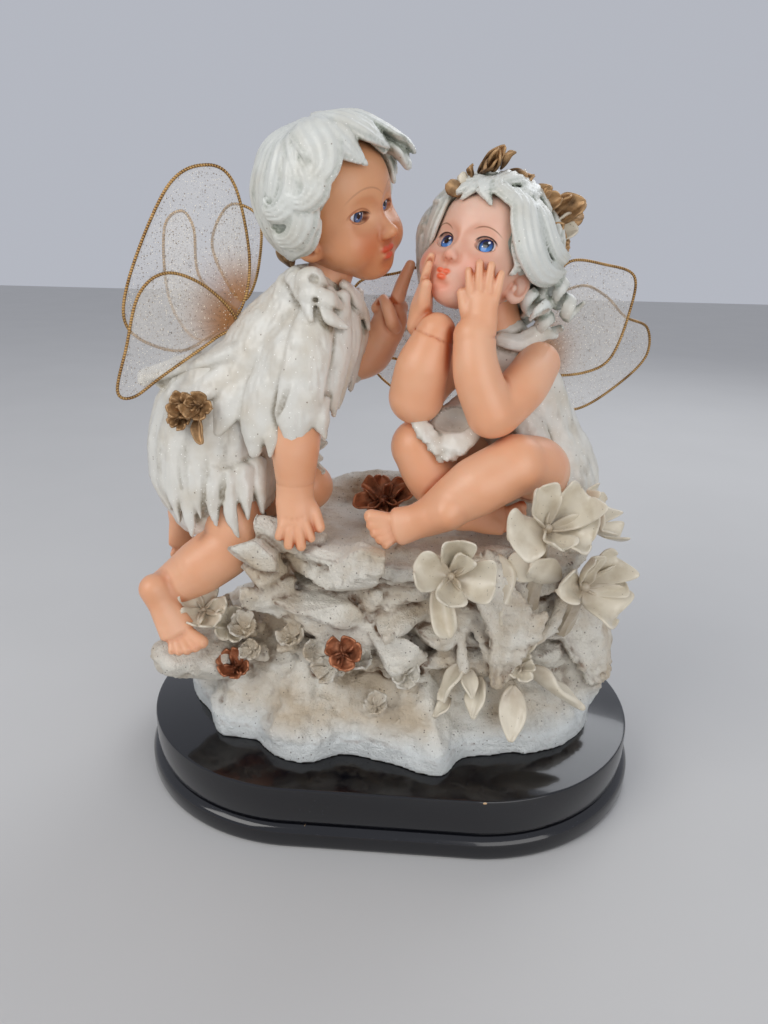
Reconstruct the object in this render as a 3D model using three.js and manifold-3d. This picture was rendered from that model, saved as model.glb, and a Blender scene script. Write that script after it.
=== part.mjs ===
// Two fairy children on a flowering rock, a painted resin casting on a black lacquered wooden plinth.
// Millimetres, +Z up, front towards -Y. The origin is the centre of the plinth's underside.

import * as THREE from 'three';
import { LoftGeometry } from 'three/addons/geometries/LoftGeometry.js';
import { mergeVertices } from 'three/addons/utils/BufferGeometryUtils.js';
import Module from 'manifold-3d';

const wasm = await Module();
wasm.setup();

const gap = 0.3; // kept between pieces that touch

// plinth: a slab with straight sides on a rounded foot moulding
const plinthLength = 240;
const plinthDepth = 160;
const plinthHeight = 29.3;
const footHeight = 11;
const footReach = 2.7;
const grooveDepth = 1.6;
const plinthArcSteps = 8;

// rock: a low mound with a strata block on it, standing on the plinth
const rockFloor = plinthHeight + gap;
const rimTop = 40;
const moundTop = 77;
const plateau = 125;

// children
const leaningHead = { at: [-27.5, -9, 266], yaw: -20, pitch: -5, roll: 11, size: 1 };
const seatedHead = { at: [36.5, -3, 250], yaw: -128, pitch: 12, roll: -8, size: 0.9 };
const wristRadius = 7.8;
const skullCentre = [-4, 0, 5];
const skullReach = [26, 24, 26];
const fingerRadius = 2.3;

// wings: wire loops with gauze stretched in them
const wireRadius = 0.85;
const wireSides = 3;
const gauzeThickness = 0.5;
const gauzeInset = 1.3;
const wireSteps = 14;

const colours = {
  lacquer: new THREE.MeshStandardMaterial({ color: 0x0e0f16, roughness: 0.2, metalness: 0 }),
  rock: new THREE.MeshStandardMaterial({ color: 0xcfc4b0, roughness: 0.7, metalness: 0 }),
  skin: new THREE.MeshStandardMaterial({ color: 0xe2a583, roughness: 0.45, metalness: 0 }),
  wire: new THREE.MeshStandardMaterial({ color: 0xa98a5a, roughness: 0.4, metalness: 0.8 }),
  gauze: new THREE.MeshStandardMaterial({ color: 0xd9cfc0, roughness: 0.6, metalness: 0 }),
};

const up = new THREE.Vector3(0, 0, 1);
const vector = (p) => (p.isVector3 ? p : new THREE.Vector3(...p));
const mix = THREE.MathUtils.lerp;
const radians = THREE.MathUtils.degToRad;

function solid(geometry) {
  const bare = new THREE.BufferGeometry();
  bare.setAttribute('position', geometry.getAttribute('position'));
  bare.setIndex(geometry.getIndex());
  const merged = mergeVertices(bare, 1e-4);
  const place = merged.getAttribute('position');
  const triangles = [];
  const corners = Array.from(merged.getIndex().array);
  let volume = 0;
  for (let i = 0; i < corners.length; i += 3) {
    const [a, b, c] = corners.slice(i, i + 3);
    if (a === b || b === c || c === a) continue;
    triangles.push([a, b, c]);
    const [p, q, r] = [a, b, c].map((n) => new THREE.Vector3().fromBufferAttribute(place, n));
    volume += p.dot(q.cross(r));
  }
  const outward = volume > 0 ? triangles : triangles.map((triangle) => triangle.reverse());
  const mesh = new wasm.Mesh({
    numProp: 3,
    vertProperties: Float32Array.from(place.array),
    triVerts: Uint32Array.from(outward.flat()),
  });
  return new wasm.Manifold(mesh);
}

function joined(solids) {
  return solids.reduce((whole, next) => whole.add(next));
}

function meshOf(name, body, material) {
  const { vertProperties, triVerts } = body.getMesh();
  const geometry = new THREE.BufferGeometry();
  geometry.setAttribute('position', new THREE.BufferAttribute(vertProperties, 3));
  geometry.setIndex(new THREE.BufferAttribute(triVerts, 1));
  geometry.computeVertexNormals();
  const mesh = new THREE.Mesh(geometry, material);
  mesh.name = name;
  return mesh;
}

function ringAt(centre, across, over, a, b, count, swell = () => 1) {
  return Array.from({ length: count }, (_, i) => {
    const t = (i / count) * 2 * Math.PI;
    const k = swell(t);
    const point = centre.clone().addScaledVector(across, a * k * Math.cos(t));
    return point.addScaledVector(over, b * k * Math.sin(t));
  });
}

// Skins the sections and closes both ends on their centres.
function loft(sections) {
  const pole = (section) => {
    const centre = section.reduce((sum, point) => sum.add(point), new THREE.Vector3());
    return section.map(() => centre.clone().divideScalar(section.length));
  };
  return solid(new LoftGeometry([pole(sections[0]), ...sections, pole(sections.at(-1))]));
}

// A bent, tapering rod, its ends round or flat. A radius is one number, or a pair: across and along the hint.
function limb(points, radii, { sides = 6, steps = 2, hint = up, grow = 0, round = [false, false] } = {}) {
  const curve = new THREE.CatmullRomCurve3(points.map(vector));
  const pairs = radii.map((r) => (Array.isArray(r) ? r : [r, r]));
  const radiusAt = (t, side) => {
    const place = t * (pairs.length - 1);
    const low = Math.min(Math.floor(place), pairs.length - 2);
    return mix(pairs[low][side], pairs[low + 1][side], place - low) + grow;
  };
  const section = (t, shift, scale) => {
    const along = curve.getTangent(t);
    const across = new THREE.Vector3().crossVectors(vector(hint), along).normalize();
    const over = new THREE.Vector3().crossVectors(along, across);
    const centre = curve.getPoint(t).addScaledVector(along, shift * Math.min(radiusAt(t, 0), radiusAt(t, 1)));
    return ringAt(centre, across, over, radiusAt(t, 0) * scale, radiusAt(t, 1) * scale, sides);
  };
  const sections = Array.from({ length: steps + 1 }, (_, i) => section(i / steps, 0, 1));
  if (round[0]) sections.unshift(section(0, -0.75, 0.55));
  if (round[1]) sections.push(section(1, 0.75, 0.55));
  return loft(sections);
}

function blob(at, size, { turn = [0, 0, 0], grow = 0, columns = 10, rows = 7 } = {}) {
  const geometry = new THREE.SphereGeometry(1, columns, rows);
  geometry.scale(...size.map((s) => s + grow));
  const pose = new THREE.Euler(...turn.map(radians), 'ZYX');
  geometry.applyMatrix4(new THREE.Matrix4().makeRotationFromEuler(pose));
  geometry.translate(...at);
  return solid(geometry);
}

// A frame with x forward, y to the figure's left and z up, turned by yaw, then pitch, then roll.
function frameOf({ at, yaw = 0, pitch = 0, roll = 0, size = 1 }) {
  const pose = new THREE.Euler(radians(roll), radians(-pitch), radians(yaw), 'ZYX');
  const matrix = new THREE.Matrix4().makeRotationFromEuler(pose);
  matrix.scale(new THREE.Vector3(size, size, size));
  return matrix.setPosition(...at);
}

function inFrame(body, matrix) {
  return body.transform(matrix.elements);
}

// A cupped, pointed leaf that grows from the origin along +x, bending up as it goes.
function leaf(length, width) {
  const cup = 0.18;
  const thick = 3;
  const point = 0.3;
  const geometry = new THREE.SphereGeometry(1, 5, 4);
  geometry.rotateZ(-Math.PI / 2);
  const place = geometry.getAttribute('position');
  for (let i = 0; i < place.count; i += 1) {
    const along = (place.getX(i) + 1) / 2;
    const across = place.getY(i) * (1 - point * along);
    const bend = cup * length * (along * along + 0.6 * across * across * (width / length));
    place.setXYZ(i, along * length, (across * width) / 2, (place.getZ(i) * thick) / 2 + bend);
  }
  return solid(geometry);
}

function turned(body, { at, yaw = 0, pitch = 0 }) {
  return inFrame(body, frameOf({ at, yaw, pitch }));
}

// A flower as one cupped dish with a lobe for each petal, on a short root; its face looks along yaw and lift.
function flower({ at, yaw, lift, petals = 5, size, cup = 0.3, perPetal = 3, root = 2 }) {
  const count = petals * perPetal;
  const notch = 0.55;
  const lobe = (t) => notch + (1 - notch) * Math.abs(Math.sin((t * petals) / 2)) ** 0.6;
  const ring = (reach, height, petalled) => Array.from({ length: count }, (_, i) => {
    const t = (i / count) * 2 * Math.PI;
    const r = size * reach * (petalled ? lobe(t) : 1);
    return new THREE.Vector3(r * Math.cos(t), r * Math.sin(t), height + (cup * r * r) / size);
  });
  const body = loft([ring(0.3, -root, false), ring(1, 0, true), ring(0.3, size * 0.12, false)]);
  return turned(body, { at, yaw, pitch: lift - 90 });
}

function buildPlinth() {
  const reach = plinthDepth / 2;
  const straight = plinthLength / 2 - reach;
  const outline = (offset, z) => {
    const points = [];
    for (const side of [1, -1]) {
      for (let i = 0; i <= plinthArcSteps; i += 1) {
        const t = (i / plinthArcSteps - 0.5) * Math.PI + (side < 0 ? Math.PI : 0);
        const x = side * straight + (reach + offset) * Math.cos(t);
        points.push(new THREE.Vector3(x, (reach + offset) * Math.sin(t), z));
      }
    }
    return points;
  };
  const profile = [
    [footReach - 1.2, 0],
    [footReach, 2.5],
    [footReach, 6.5],
    [footReach * 0.3, footHeight - 1],
    [-grooveDepth, footHeight],
    [0, footHeight + 1.2],
    [0, plinthHeight - 1],
    [-1.2, plinthHeight],
  ];
  return loft(profile.map(([offset, z]) => outline(offset, z)));
}

// The mound's outline on the plinth, counterclockwise from the right end.
const moundOutline = [
  [104, 8], [106, 30], [96, 48], [66, 60], [24, 64], [-24, 62], [-68, 56], [-96, 38], [-107, 12],
  [-99, -13], [-88, -28], [-77, -45], [-60, -48], [-49, -58], [-33, -62], [-16, -55], [8, -60],
  [26, -66], [37, -52], [55, -47], [71, -44], [86, -36], [98, -18],
];

function buildGround(grow) {
  const spineHalf = 66;
  const spineY = 6;
  const section = (inset, z, ripple) => {
    return moundOutline.map(([x, y], i) => {
      const spineX = THREE.MathUtils.clamp(x, -spineHalf, spineHalf);
      const k = 1 - inset + ripple * Math.sin(i * 2.3);
      const length = Math.hypot(x - spineX, y - spineY);
      const scale = k + grow / length;
      return new THREE.Vector3(spineX + (x - spineX) * scale, spineY + (y - spineY) * scale, z);
    });
  };
  return loft([
    section(0.02, rockFloor, 0),
    section(0, rimTop - 4, 0),
    section(0.05, rimTop, 0.01),
    section(0.2, mix(rimTop, moundTop, 0.3), 0.03),
    section(0.36, mix(rimTop, moundTop, 0.66), 0.03),
    section(0.52, moundTop + grow, 0.02),
  ]);
}

// The block's strata: for each height the left, right, front and back reach.
const strata = [
  [62, -34, 94, -32, 44], [78, -36, 92, -30, 44], [85, -31, 87, -32, 41], [93, -42, 86, -36, 44],
  [102, -44, 84, -38, 41], [107, -55, 86, -43, 44], [119, -61, 90, -47, 43], [plateau, -57, 88, -44, 40],
];

function buildBlock(grow) {
  const count = 18;
  return loft(strata.map(([z, left, right, front, back], level) => {
    const height = level === strata.length - 1 ? z + grow : z;
    const centre = new THREE.Vector3((left + right) / 2, (front + back) / 2, height);
    const across = (right - left) / 2 + grow;
    const over = (back - front) / 2 + grow;
    const swell = (t) => {
      const square = 1 / (Math.abs(Math.cos(t)) ** 3.4 + Math.abs(Math.sin(t)) ** 3.4) ** (1 / 3.4);
      return square * (1 + 0.025 * Math.sin(3 * t + level * 1.7) + 0.02 * Math.sin(7 * t + level * 2.9));
    };
    return ringAt(centre, new THREE.Vector3(1, 0, 0), new THREE.Vector3(0, 1, 0), across, over, count, swell);
  }));
}

function buildRockBody(grow = 0) {
  const ledge = limb([[-66, -10, 62], [-88, -32, 66], [-100, -46, 67]], [[13, 9], [14, 7], [6, 5]],
    { sides: 7, grow, round: [false, true] });
  const ridge = limb([[-44, 32, 118], [-20, 34, 127], [8, 33, 128], [34, 32, 122]], [12, 12, 12, 10],
    { steps: 3, grow });
  const seat = blob([66, 6, 118], [30, 32, 13], { grow, columns: 10, rows: 5 });
  const leftShoulder = blob([-70, 4, 62], [26, 30, 18], { grow, columns: 9, rows: 5 });
  const rightSlope = limb([[80, -4, 92], [92, -8, 72], [94, -4, 46]], [14, 13, 12], { grow });
  const sheath = limb([[52, -38, 122], [49, -45, 100], [45, -45, 76]], [[13, 6], [10, 7], [6, 6]],
    { grow });
  return joined([buildGround(grow), buildBlock(grow), ledge, ridge, seat, leftShoulder, rightSlope, sheath]);
}

// Large white flowers on the block, each with the point where its stem starts.
const orchids = [
  { at: [27, -60, 124], yaw: -82, lift: 28, size: 17, from: [32, -26, 80] },
  { at: [65, -49, 142], yaw: -74, lift: 38, size: 19, from: [62, -34, 100] },
  { at: [90, -36, 121], yaw: -50, lift: 25, size: 17, from: [80, -24, 86] },
  { at: [86, -24, 138], yaw: -20, lift: 35, size: 14, from: [80, -14, 116] },
];
const blossoms = [
  { at: [-85.5, -30, 85.5], yaw: -74, lift: 42, size: 10, root: 18 },
  { at: [-74, -25, 76], yaw: -66, lift: 30, size: 9.5, root: 12 },
  { at: [-70.8, -35, 56], yaw: -90, lift: 45, size: 7, root: 5 },
  { at: [-21.3, -31, 72.5], yaw: -80, lift: 45, size: 7, root: 5 },
  { at: [9, -37, 65.5], yaw: -90, lift: 45, size: 7, root: 5 },
];
const leaves = [
  { at: [53, -30, 64], yaw: -66, pitch: -54, length: 31, width: 14 },
  { at: [70, -28, 68], yaw: -22, pitch: -50, length: 30, width: 13 },
  { at: [29.7, -36.5, 66], yaw: -68, pitch: -56, length: 17, width: 10 },
  { at: [41.3, -34, 58], yaw: -78, pitch: -52, length: 18, width: 11 },
];

function buildFlora() {
  const parts = [flower({ at: [-5, 3, 132], yaw: -96, lift: 55, size: 13.5, cup: 0.45, root: 9 })];
  orchids.forEach(({ from, ...place }) => {
    parts.push(flower({ ...place, root: 4 }));
    const bend = [place.at[0], (place.at[1] + from[1]) / 2, mix(place.at[2], from[2], 0.3)];
    parts.push(limb([place.at, bend, from], [2.6, 3.4, 5], { sides: 5, hint: [1, 0, 0] }));
  });
  blossoms.forEach((place) => parts.push(flower({ ...place, perPetal: 2 })));
  leaves.forEach(({ length, width, ...place }) => {
    parts.push(turned(leaf(length, width), place));
  });
  return joined(parts);
}

// A cushion with an outline of lobes, each an angle, a reach and a half width, round the origin.
function lobed(lobes, { valley, thick, heel, droop = 0 }) {
  const outline = lobes.flatMap(({ angle, reach, half }, i) => {
    const along = new THREE.Vector2(Math.cos(radians(angle)), Math.sin(radians(angle)));
    const tip = along.clone().multiplyScalar(reach);
    const side = new THREE.Vector2(-along.y, along.x).multiplyScalar(half);
    const points = [tip.clone().sub(side), tip.clone().add(side)];
    if (i === lobes.length - 1) return points;
    const between = radians((angle + lobes[i + 1].angle) / 2);
    const dip = lobes[i + 1].angle - angle > 35 ? valley * 0.85 : valley;
    return [...points, new THREE.Vector2(Math.cos(between) * dip, Math.sin(between) * dip)];
  });
  for (const angle of [135, 180, 225]) {
    outline.push(new THREE.Vector2(Math.cos(radians(angle)) * heel, Math.sin(radians(angle)) * heel));
  }
  const section = (scale, height) => outline.map(({ x, y }) => {
    return new THREE.Vector3(x * scale, y * scale, height - droop * (Math.max(x, 0) / 10) ** 2);
  });
  return loft([section(0.95, -thick), section(1, thick * 0.6)]);
}

// Fingers fan out from the palm, along the hand's own x axis, the palm facing -z.
function hand({ at, yaw, pitch, spread = 15, thumb = 1, size = 1 }) {
  const fingers = [[-1.5, 19.5], [-0.5, 22.5], [0.5, 23], [1.5, 20.5]];
  const half = fingerRadius;
  const lobes = fingers.map(([place, reach]) => ({ angle: place * spread * thumb, reach, half }));
  lobes.push({ angle: 66 * thumb, reach: 13.5, half: 2.8 });
  lobes.sort((a, b) => a.angle - b.angle);
  const whole = lobed(lobes, { valley: 12.5, thick: 4.6, heel: 8, droop: 0.6 });
  return inFrame(whole, frameOf({ at, yaw, pitch, size }));
}

// A fist with its forefinger out along x.
function pointingHand({ at, yaw, pitch, roll, size }) {
  const whole = joined([
    blob([4, 1, -1], [9.5, 8.5, 7.5], { columns: 7, rows: 5 }),
    limb([[9, -5, 0], [27, -7, 0]], [3.2, 2.1], { sides: 5, steps: 1, round: [false, true] }),
    limb([[6, -4, 6], [11, 0, 6.5], [13, 4, 5]], [2.9, 2.8, 2.3], { sides: 5, round: [false, true] }),
  ]);
  return inFrame(whole, frameOf({ at, yaw, pitch, roll, size }));
}

// The sole faces -z, and the toes, which a hidden foot lacks, point along +x, the big toe on the side given.
function foot({ at, yaw, pitch, roll, big, size }) {
  const arch = [[-6, 0, 11], [6, 0, 6.5], [22, 0, 3.6]];
  const parts = [limb(arch, [[7.5, 8.5], [9, 7], [9, 3.6]], { round: [true, true] })];
  if (big) {
    const toes = [0, 1, 2, 3, 4].map((i) => ({
      angle: (22 - i * 11.5) * big, reach: 25 - i * 1.3, half: i === 0 ? 3 : 2,
    }));
    toes.sort((a, b) => a.angle - b.angle);
    parts.push(turned(lobed(toes, { valley: 19.5, thick: 3.4, heel: 8 }), { at: [9, 0, 3.4] }));
  }
  return inFrame(joined(parts), frameOf({ at, yaw, pitch, roll, size }));
}

// A child's head in its own frame: skull, jaw, small nose, lips, chin, cheeks and ears.
function headSkin() {
  const parts = [
    blob([-3, 0, 5], [26, 23.5, 26], { columns: 9, rows: 6 }),
    blob([5, 0, -8], [19.5, 20.5, 19], { columns: 8, rows: 5 }),
    blob([25.5, 0, -9.5], [5, 3.8, 3.8], { columns: 5, rows: 4 }),
    blob([20.5, 0, -18], [5.5, 5.5, 3.8], { columns: 6, rows: 3 }),
    blob([16.5, 0, -23.5], [6.5, 6.5, 5], { columns: 6, rows: 4 }),
  ];
  for (const side of [1, -1]) {
    parts.push(blob([14.5, 10 * side, -13], [9.5, 9.5, 9], { columns: 6, rows: 5 }));
    parts.push(blob([1, 21.5 * side, -13], [5, 3, 7], { turn: [0, 0, -15 * side], columns: 5, rows: 4 }));
  }
  return parts;
}

function onSkull(azimuth, polar, lift) {
  const around = [
    Math.sin(radians(polar)) * Math.cos(radians(azimuth)),
    Math.sin(radians(polar)) * Math.sin(radians(azimuth)),
    Math.cos(radians(polar)),
  ];
  return new THREE.Vector3(...around.map((part, i) => skullCentre[i] + (skullReach[i] + lift) * part));
}

// Reads a value from stops spread evenly from the face, azimuth 0, round to the back of the head.
function fromFaceToBack(stops, azimuth) {
  const place = (Math.abs(((azimuth + 540) % 360) - 180) / 180) * (stops.length - 1);
  const low = Math.min(Math.floor(place), stops.length - 2);
  return mix(stops[low], stops[low + 1], place - low);
}

// Hair as one shell from the crown to its hem, which hangs lower from face to back, ridged by its locks.
function hairShell({ hem, lifts, ridge, wave }) {
  const columns = 18;
  return loft(lifts.map((lift, row) => Array.from({ length: columns }, (_, i) => {
    const down = row / (lifts.length - 1);
    const azimuth = (i / columns) * 360 + wave * Math.sin(down * 5);
    const polar = mix(8, fromFaceToBack(hem, azimuth) + (i % 2 ? 5 : -3) * down, down);
    return onSkull(azimuth, polar, lift + (i % 2 ? ridge : 0) * (0.3 + down));
  })));
}

// A lock of hair that follows the skull: stops give azimuth, polar angle and lift off the skull.
function lock(stops, radii) {
  const points = stops.map((stop) => onSkull(...stop));
  const outward = points[1].clone().sub(vector(skullCentre)).normalize();
  return limb(points, radii, { sides: 5, hint: outward, round: [false, true] });
}

function bobHair() {
  return [
    hairShell({ hem: [50, 74, 124, 148, 150], lifts: [1.5, 2, 2.5, 4], ridge: 2, wave: 6 }),
    lock([[-40, 14, 2], [-32, 36, 4], [-26, 56, 6]], [[6, 3], [8, 4], [3, 2]]),
    lock([[20, 14, 2], [10, 38, 5], [5, 58, 12]], [[7, 3], [10, 4], [7, 3]]),
  ];
}

function curlyHair() {
  const parts = [hairShell({ hem: [46, 62, 98, 118, 124], lifts: [1, 2.5, 3.5, 5], ridge: 2.4, wave: 9 })];
  for (const azimuth of [76, 104, 136]) {
    const stops = [[azimuth, 84, 3], [azimuth + 6, 104, 7], [azimuth - 3, 126, 12]];
    parts.push(lock(stops, [[7, 5], [8, 6], [4, 4]]));
  }
  const wreath = [[-8, 24, 5, 9], [60, 28, 2, 8], [84, 48, 3, 9], [98, 68, 5, 10]];
  for (const [azimuth, polar, reach, size] of wreath) {
    const at = onSkull(azimuth, polar, reach).toArray();
    parts.push(flower({ at, yaw: azimuth, lift: 90 - polar, petals: 4, size, cup: 0.4, root: 5 }));
  }
  return parts;
}

function ragged(ring, depth, along) {
  return ring.map((point, i) => point.clone().addScaledVector(along, i % 2 ? depth : -depth * 0.35));
}

// A garment as rings from top to hem, each with its centre, reaches and tilt, ending in leaf tips.
function garment(rings, { count, tips }) {
  const sections = rings.map(({ at, size, tilt = 0 }, level) => {
    const along = new THREE.Vector3(Math.cos(radians(tilt)), 0, Math.sin(radians(tilt)));
    const folds = (t) => 1 + 0.03 * (level / rings.length) * Math.sin(7 * t + level);
    return ringAt(vector(at), along, new THREE.Vector3(0, 1, 0), size[0], size[1], count, folds);
  });
  const hem = rings.at(-1);
  const down = vector(hem.at).sub(vector(rings.at(-2).at)).normalize();
  sections.push(ragged(sections.pop(), tips, down));
  return loft(sections);
}

function buildLeaningFairy() {
  const head = frameOf(leaningHead);
  const parts = [...headSkin(), ...bobHair()].map((piece) => inFrame(piece, head));
  parts.push(limb([[-38, -7, 220], [-25, -8, 246]], [10, 10], { steps: 1 }));
  parts.push(garment([
    { at: [-34, -8, 231], size: [9, 10], tilt: -40 },
    { at: [-38, -8, 224], size: [17, 19], tilt: -40 },
    { at: [-52, -7, 204], size: [24, 25], tilt: -40 },
    { at: [-67, -7, 186], size: [24, 25], tilt: -20 },
  ], { count: 12, tips: 4 }));
  parts.push(garment([
    { at: [-70, -7, 196], size: [14, 18], tilt: -25 },
    { at: [-78, -7, 183], size: [25, 25], tilt: -14 },
    { at: [-83, -7, 166], size: [29, 28], tilt: -4 },
    { at: [-84, -8, 150], size: [30, 28.5], tilt: 0 },
    { at: [-82, -8, 137], size: [26, 26], tilt: 4 },
  ], { count: 14, tips: 4.5 }));
  parts.push(limb([[-74, -8, 203], [-92, -9, 197], [-107, -10, 193.5]], [[16, 5], [12, 4.5], [5, 3]],
    { round: [false, true] }));
  parts.push(limb([[-34, -20, 226], [-38, -31, 208], [-43, -35, 180]], [[10, 8], [14, 10], [18, 9]],
    { sides: 7, steps: 3, hint: [0, 1, 0], round: [true, false] }));
  parts.push(limb([[-28, 5, 226], [-21, 12, 212], [-24, 14, 190]], [[8, 8], [11, 9], [10, 6]],
    { hint: [0, 1, 0], round: [true, false] }));
  parts.push(flower({ at: [-27, -30, 232], yaw: -70, lift: 30, size: 9, perPetal: 2, root: 6 }));
  parts.push(flower({ at: [-87, -35, 178], yaw: -100, lift: 12, size: 9, perPetal: 2, root: 6 }));
  parts.push(limb([[-40, -34, 184], [-41, -34, 151]], [11, wristRadius]));
  parts.push(hand({ at: [-41, -36, 146], yaw: -82, pitch: -62 }));
  parts.push(limb([[-23, 15, 200], [-14, 12, 203], [-6, 8, 213]], [10, 9.5, wristRadius],
    { round: [true, false] }));
  parts.push(pointingHand({ at: [-5, 7, 214], yaw: -15, pitch: 72, roll: 75, size: 0.95 }));
  parts.push(limb([[-78, -18, 152], [-68, -29, 136], [-67, -31, 127], [-86, -33, 112], [-104, -33, 99]],
    [15, 13, 13, 12, 8.5], { sides: 7, steps: 5 }));
  parts.push(foot({ at: [-103, -37, 92], yaw: -40, pitch: -40, roll: 26, big: 1, size: 0.86 }));
  parts.push(limb([[-74, 6, 152], [-48, 4, 141], [-42, 4, 138], [-66, 8, 128], [-102, 12, 121]],
    [14, 11, 11, 10, 7.5], { steps: 5 }));
  parts.push(foot({ at: [-110, 10, 117], yaw: -60, pitch: -72, roll: 0, big: 0, size: 0.7 }));
  return joined(parts);
}

function buildSeatedFairy() {
  const head = frameOf(seatedHead);
  const parts = [...headSkin(), ...curlyHair()].map((piece) => inFrame(piece, head));
  parts.push(limb([[46, 5, 208], [41, 1, 234]], [11, 10], { steps: 1 }));
  parts.push(limb([[63, 4, 150], [60, 7, 172], [50, 4, 196], [46, 3, 210]],
    [[25, 21], [22, 18], [21, 16], [12, 10]], { sides: 9, steps: 3, hint: [0.5, 0.87, 0] }));
  parts.push(blob([69, 8, 150], [23, 24, 20], { columns: 9, rows: 5 }));
  parts.push(limb([[46, -6, 188], [29, -28, 177], [25, -36, 170]], [[14, 9], [13, 6], [12, 3]]));
  parts.push(limb([[61, -9, 203], [54, -24, 196], [41, -36, 188]], [9.5, 10, 9.5], { round: [true, false] }));
  parts.push(limb([[40, -37, 187], [34, -37, 202], [31.5, -34, 217]], [10, 9.5, wristRadius],
    { hint: [0, 1, 0], round: [true, false] }));
  parts.push(hand({ at: [34.5, -33, 222], yaw: 80, pitch: 84, spread: 14, size: 0.92 }));
  parts.push(limb([[38, 8, 206], [20, -5, 198], [10, -23, 190]], [9, 10, 10]));
  parts.push(limb([[9.5, -24, 190], [12, -26, 203], [17, -24, 217]], [12, 11.5, wristRadius],
    { hint: [0, 1, 0], round: [true, false] }));
  parts.push(hand({ at: [11, -17, 225], yaw: -5, pitch: 84, spread: 13, thumb: -1, size: 0.9 }));
  parts.push(limb([[66, -2, 152], [62, -22, 160], [52, -36, 166]], [15, 14, 12], { sides: 7 }));
  parts.push(limb([[52, -36, 165], [36, -42, 157], [15, -43, 143]], [12.5, 12.5, wristRadius],
    { sides: 7, round: [true, false] }));
  parts.push(foot({ at: [20, -43, 132], yaw: -172, pitch: -4, roll: 26, big: -1, size: 0.8 }));
  parts.push(limb([[44, 10, 148], [26, -6, 160], [11, -20, 168]], [14, 13, 11.5]));
  parts.push(limb([[11, -21, 167], [20, -24, 153], [42, -28, 140]], [11.5, 12, wristRadius],
    { round: [true, false] }));
  parts.push(foot({ at: [36, -26, 136], yaw: -8, pitch: 5, roll: 60, big: 0, size: 0.74 }));
  return joined(parts);
}

// Each wing lobe lies in an upright plane through its root: outline points out from the root and up.
const wings = [
  {
    name: 'leaning_wing_near_upper', root: [-66, -10, 224], yaw: 206,
    outline: [[1, 0], [-3, 20], [2, 48], [13, 55], [29, 46], [47, 10], [48, -9], [29, -18], [12, -10]],
  },
  {
    name: 'leaning_wing_near_lower', root: [-68, -13, 217], yaw: 214,
    outline: [[1, 1], [13, 15], [29, 21], [41, 13], [48, -8], [53, -25], [47, -28], [34, -20], [11, -6]],
  },
  {
    name: 'leaning_wing_far_lower', root: [-68, -3, 217], yaw: 165,
    outline: [[1, 2], [21, 17], [23, 38], [29, 45], [38, 37], [38, 8], [26, -9], [9, -5]],
  },
  {
    name: 'leaning_wing_far_upper', root: [-66, -5, 225], yaw: 180, roll: 35,
    outline: [[2, 1], [12, 13], [19, 30], [15, 47], [7, 49], [-2, 40], [-3, 14]],
  },
  {
    name: 'seated_wing_left_upper', root: [62, 18, 203], yaw: 20,
    outline: [[2, 1], [6, 28], [14, 41], [32, 40], [48, 35], [48, 19], [41, -2], [28, -9], [9, -9]],
  },
  {
    name: 'seated_wing_left_lower', root: [60, 21, 198], yaw: 32,
    outline: [
      [1, 1], [10, 27], [28, 35], [44, 30], [58, 20], [74, 14], [76, 0], [60, -13], [34, -24], [9, -20],
    ],
  },
  {
    name: 'seated_wing_right_upper', root: [54, 21, 204], yaw: 172,
    outline: [[1, 1], [9, 24], [32, 38], [58, 33], [76, 28], [80, 12], [66, -4], [38, -8], [11, -6]],
  },
  {
    name: 'seated_wing_right_lower', root: [52, 25, 198], yaw: 160,
    outline: [[1, 1], [18, 12], [46, 14], [68, 4], [70, -10], [50, -22], [24, -24], [6, -14]],
  },
];

function wingLoop({ root, yaw, roll = 0, outline }) {
  const matrix = frameOf({ at: root, yaw, roll });
  const points = outline.map(([out, height]) => new THREE.Vector3(out, 0, height).applyMatrix4(matrix));
  const curve = new THREE.CatmullRomCurve3(points, true);
  const normal = new THREE.Vector3(0, 1, 0).transformDirection(matrix);
  const turn = Math.sign(THREE.ShapeUtils.area(outline.map((point) => new THREE.Vector2(...point))));
  return { curve, normal, inwardSign: -turn };
}

function wireSolid({ curve, normal }, grow = 0) {
  const sections = [];
  for (let i = 0; i <= wireSteps; i += 1) {
    const t = (i / wireSteps) % 1;
    const across = new THREE.Vector3().crossVectors(normal, curve.getTangent(t)).normalize();
    sections.push(ringAt(curve.getPoint(t), across, normal, wireRadius + grow, wireRadius + grow, wireSides));
  }
  return solid(new LoftGeometry(sections));
}

function gauzeSolid({ curve, normal, inwardSign }, grow = 0) {
  return loft([-1, 1].map((side) => Array.from({ length: wireSteps }, (_, i) => {
    const t = i / wireSteps;
    const across = new THREE.Vector3().crossVectors(normal, curve.getTangent(t)).normalize();
    const point = curve.getPoint(t).addScaledVector(across, inwardSign * (gauzeInset - grow));
    return point.addScaledVector(normal, side * (gauzeThickness / 2 + grow));
  })));
}

const rockBody = buildRockBody();
const grownRock = buildRockBody(gap);
const loops = wings.map((wing) => ({ name: wing.name, ...wingLoop(wing) }));
const sockets = joined(loops.flatMap((loop) => [wireSolid(loop, gap), gauzeSolid(loop, gap)]));

const group = new THREE.Group();
group.add(meshOf('plinth', buildPlinth(), colours.lacquer));
group.add(meshOf('rock_base', rockBody.add(buildFlora()), colours.rock));
group.add(meshOf('leaning_fairy', buildLeaningFairy().subtract(grownRock).subtract(sockets), colours.skin));
group.add(meshOf('seated_fairy', buildSeatedFairy().subtract(grownRock).subtract(sockets), colours.skin));
for (const loop of loops) {
  group.add(meshOf(`${loop.name}_wire`, wireSolid(loop), colours.wire));
  group.add(meshOf(`${loop.name}_gauze`, gauzeSolid(loop), colours.gauze));
}

export default group;
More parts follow.
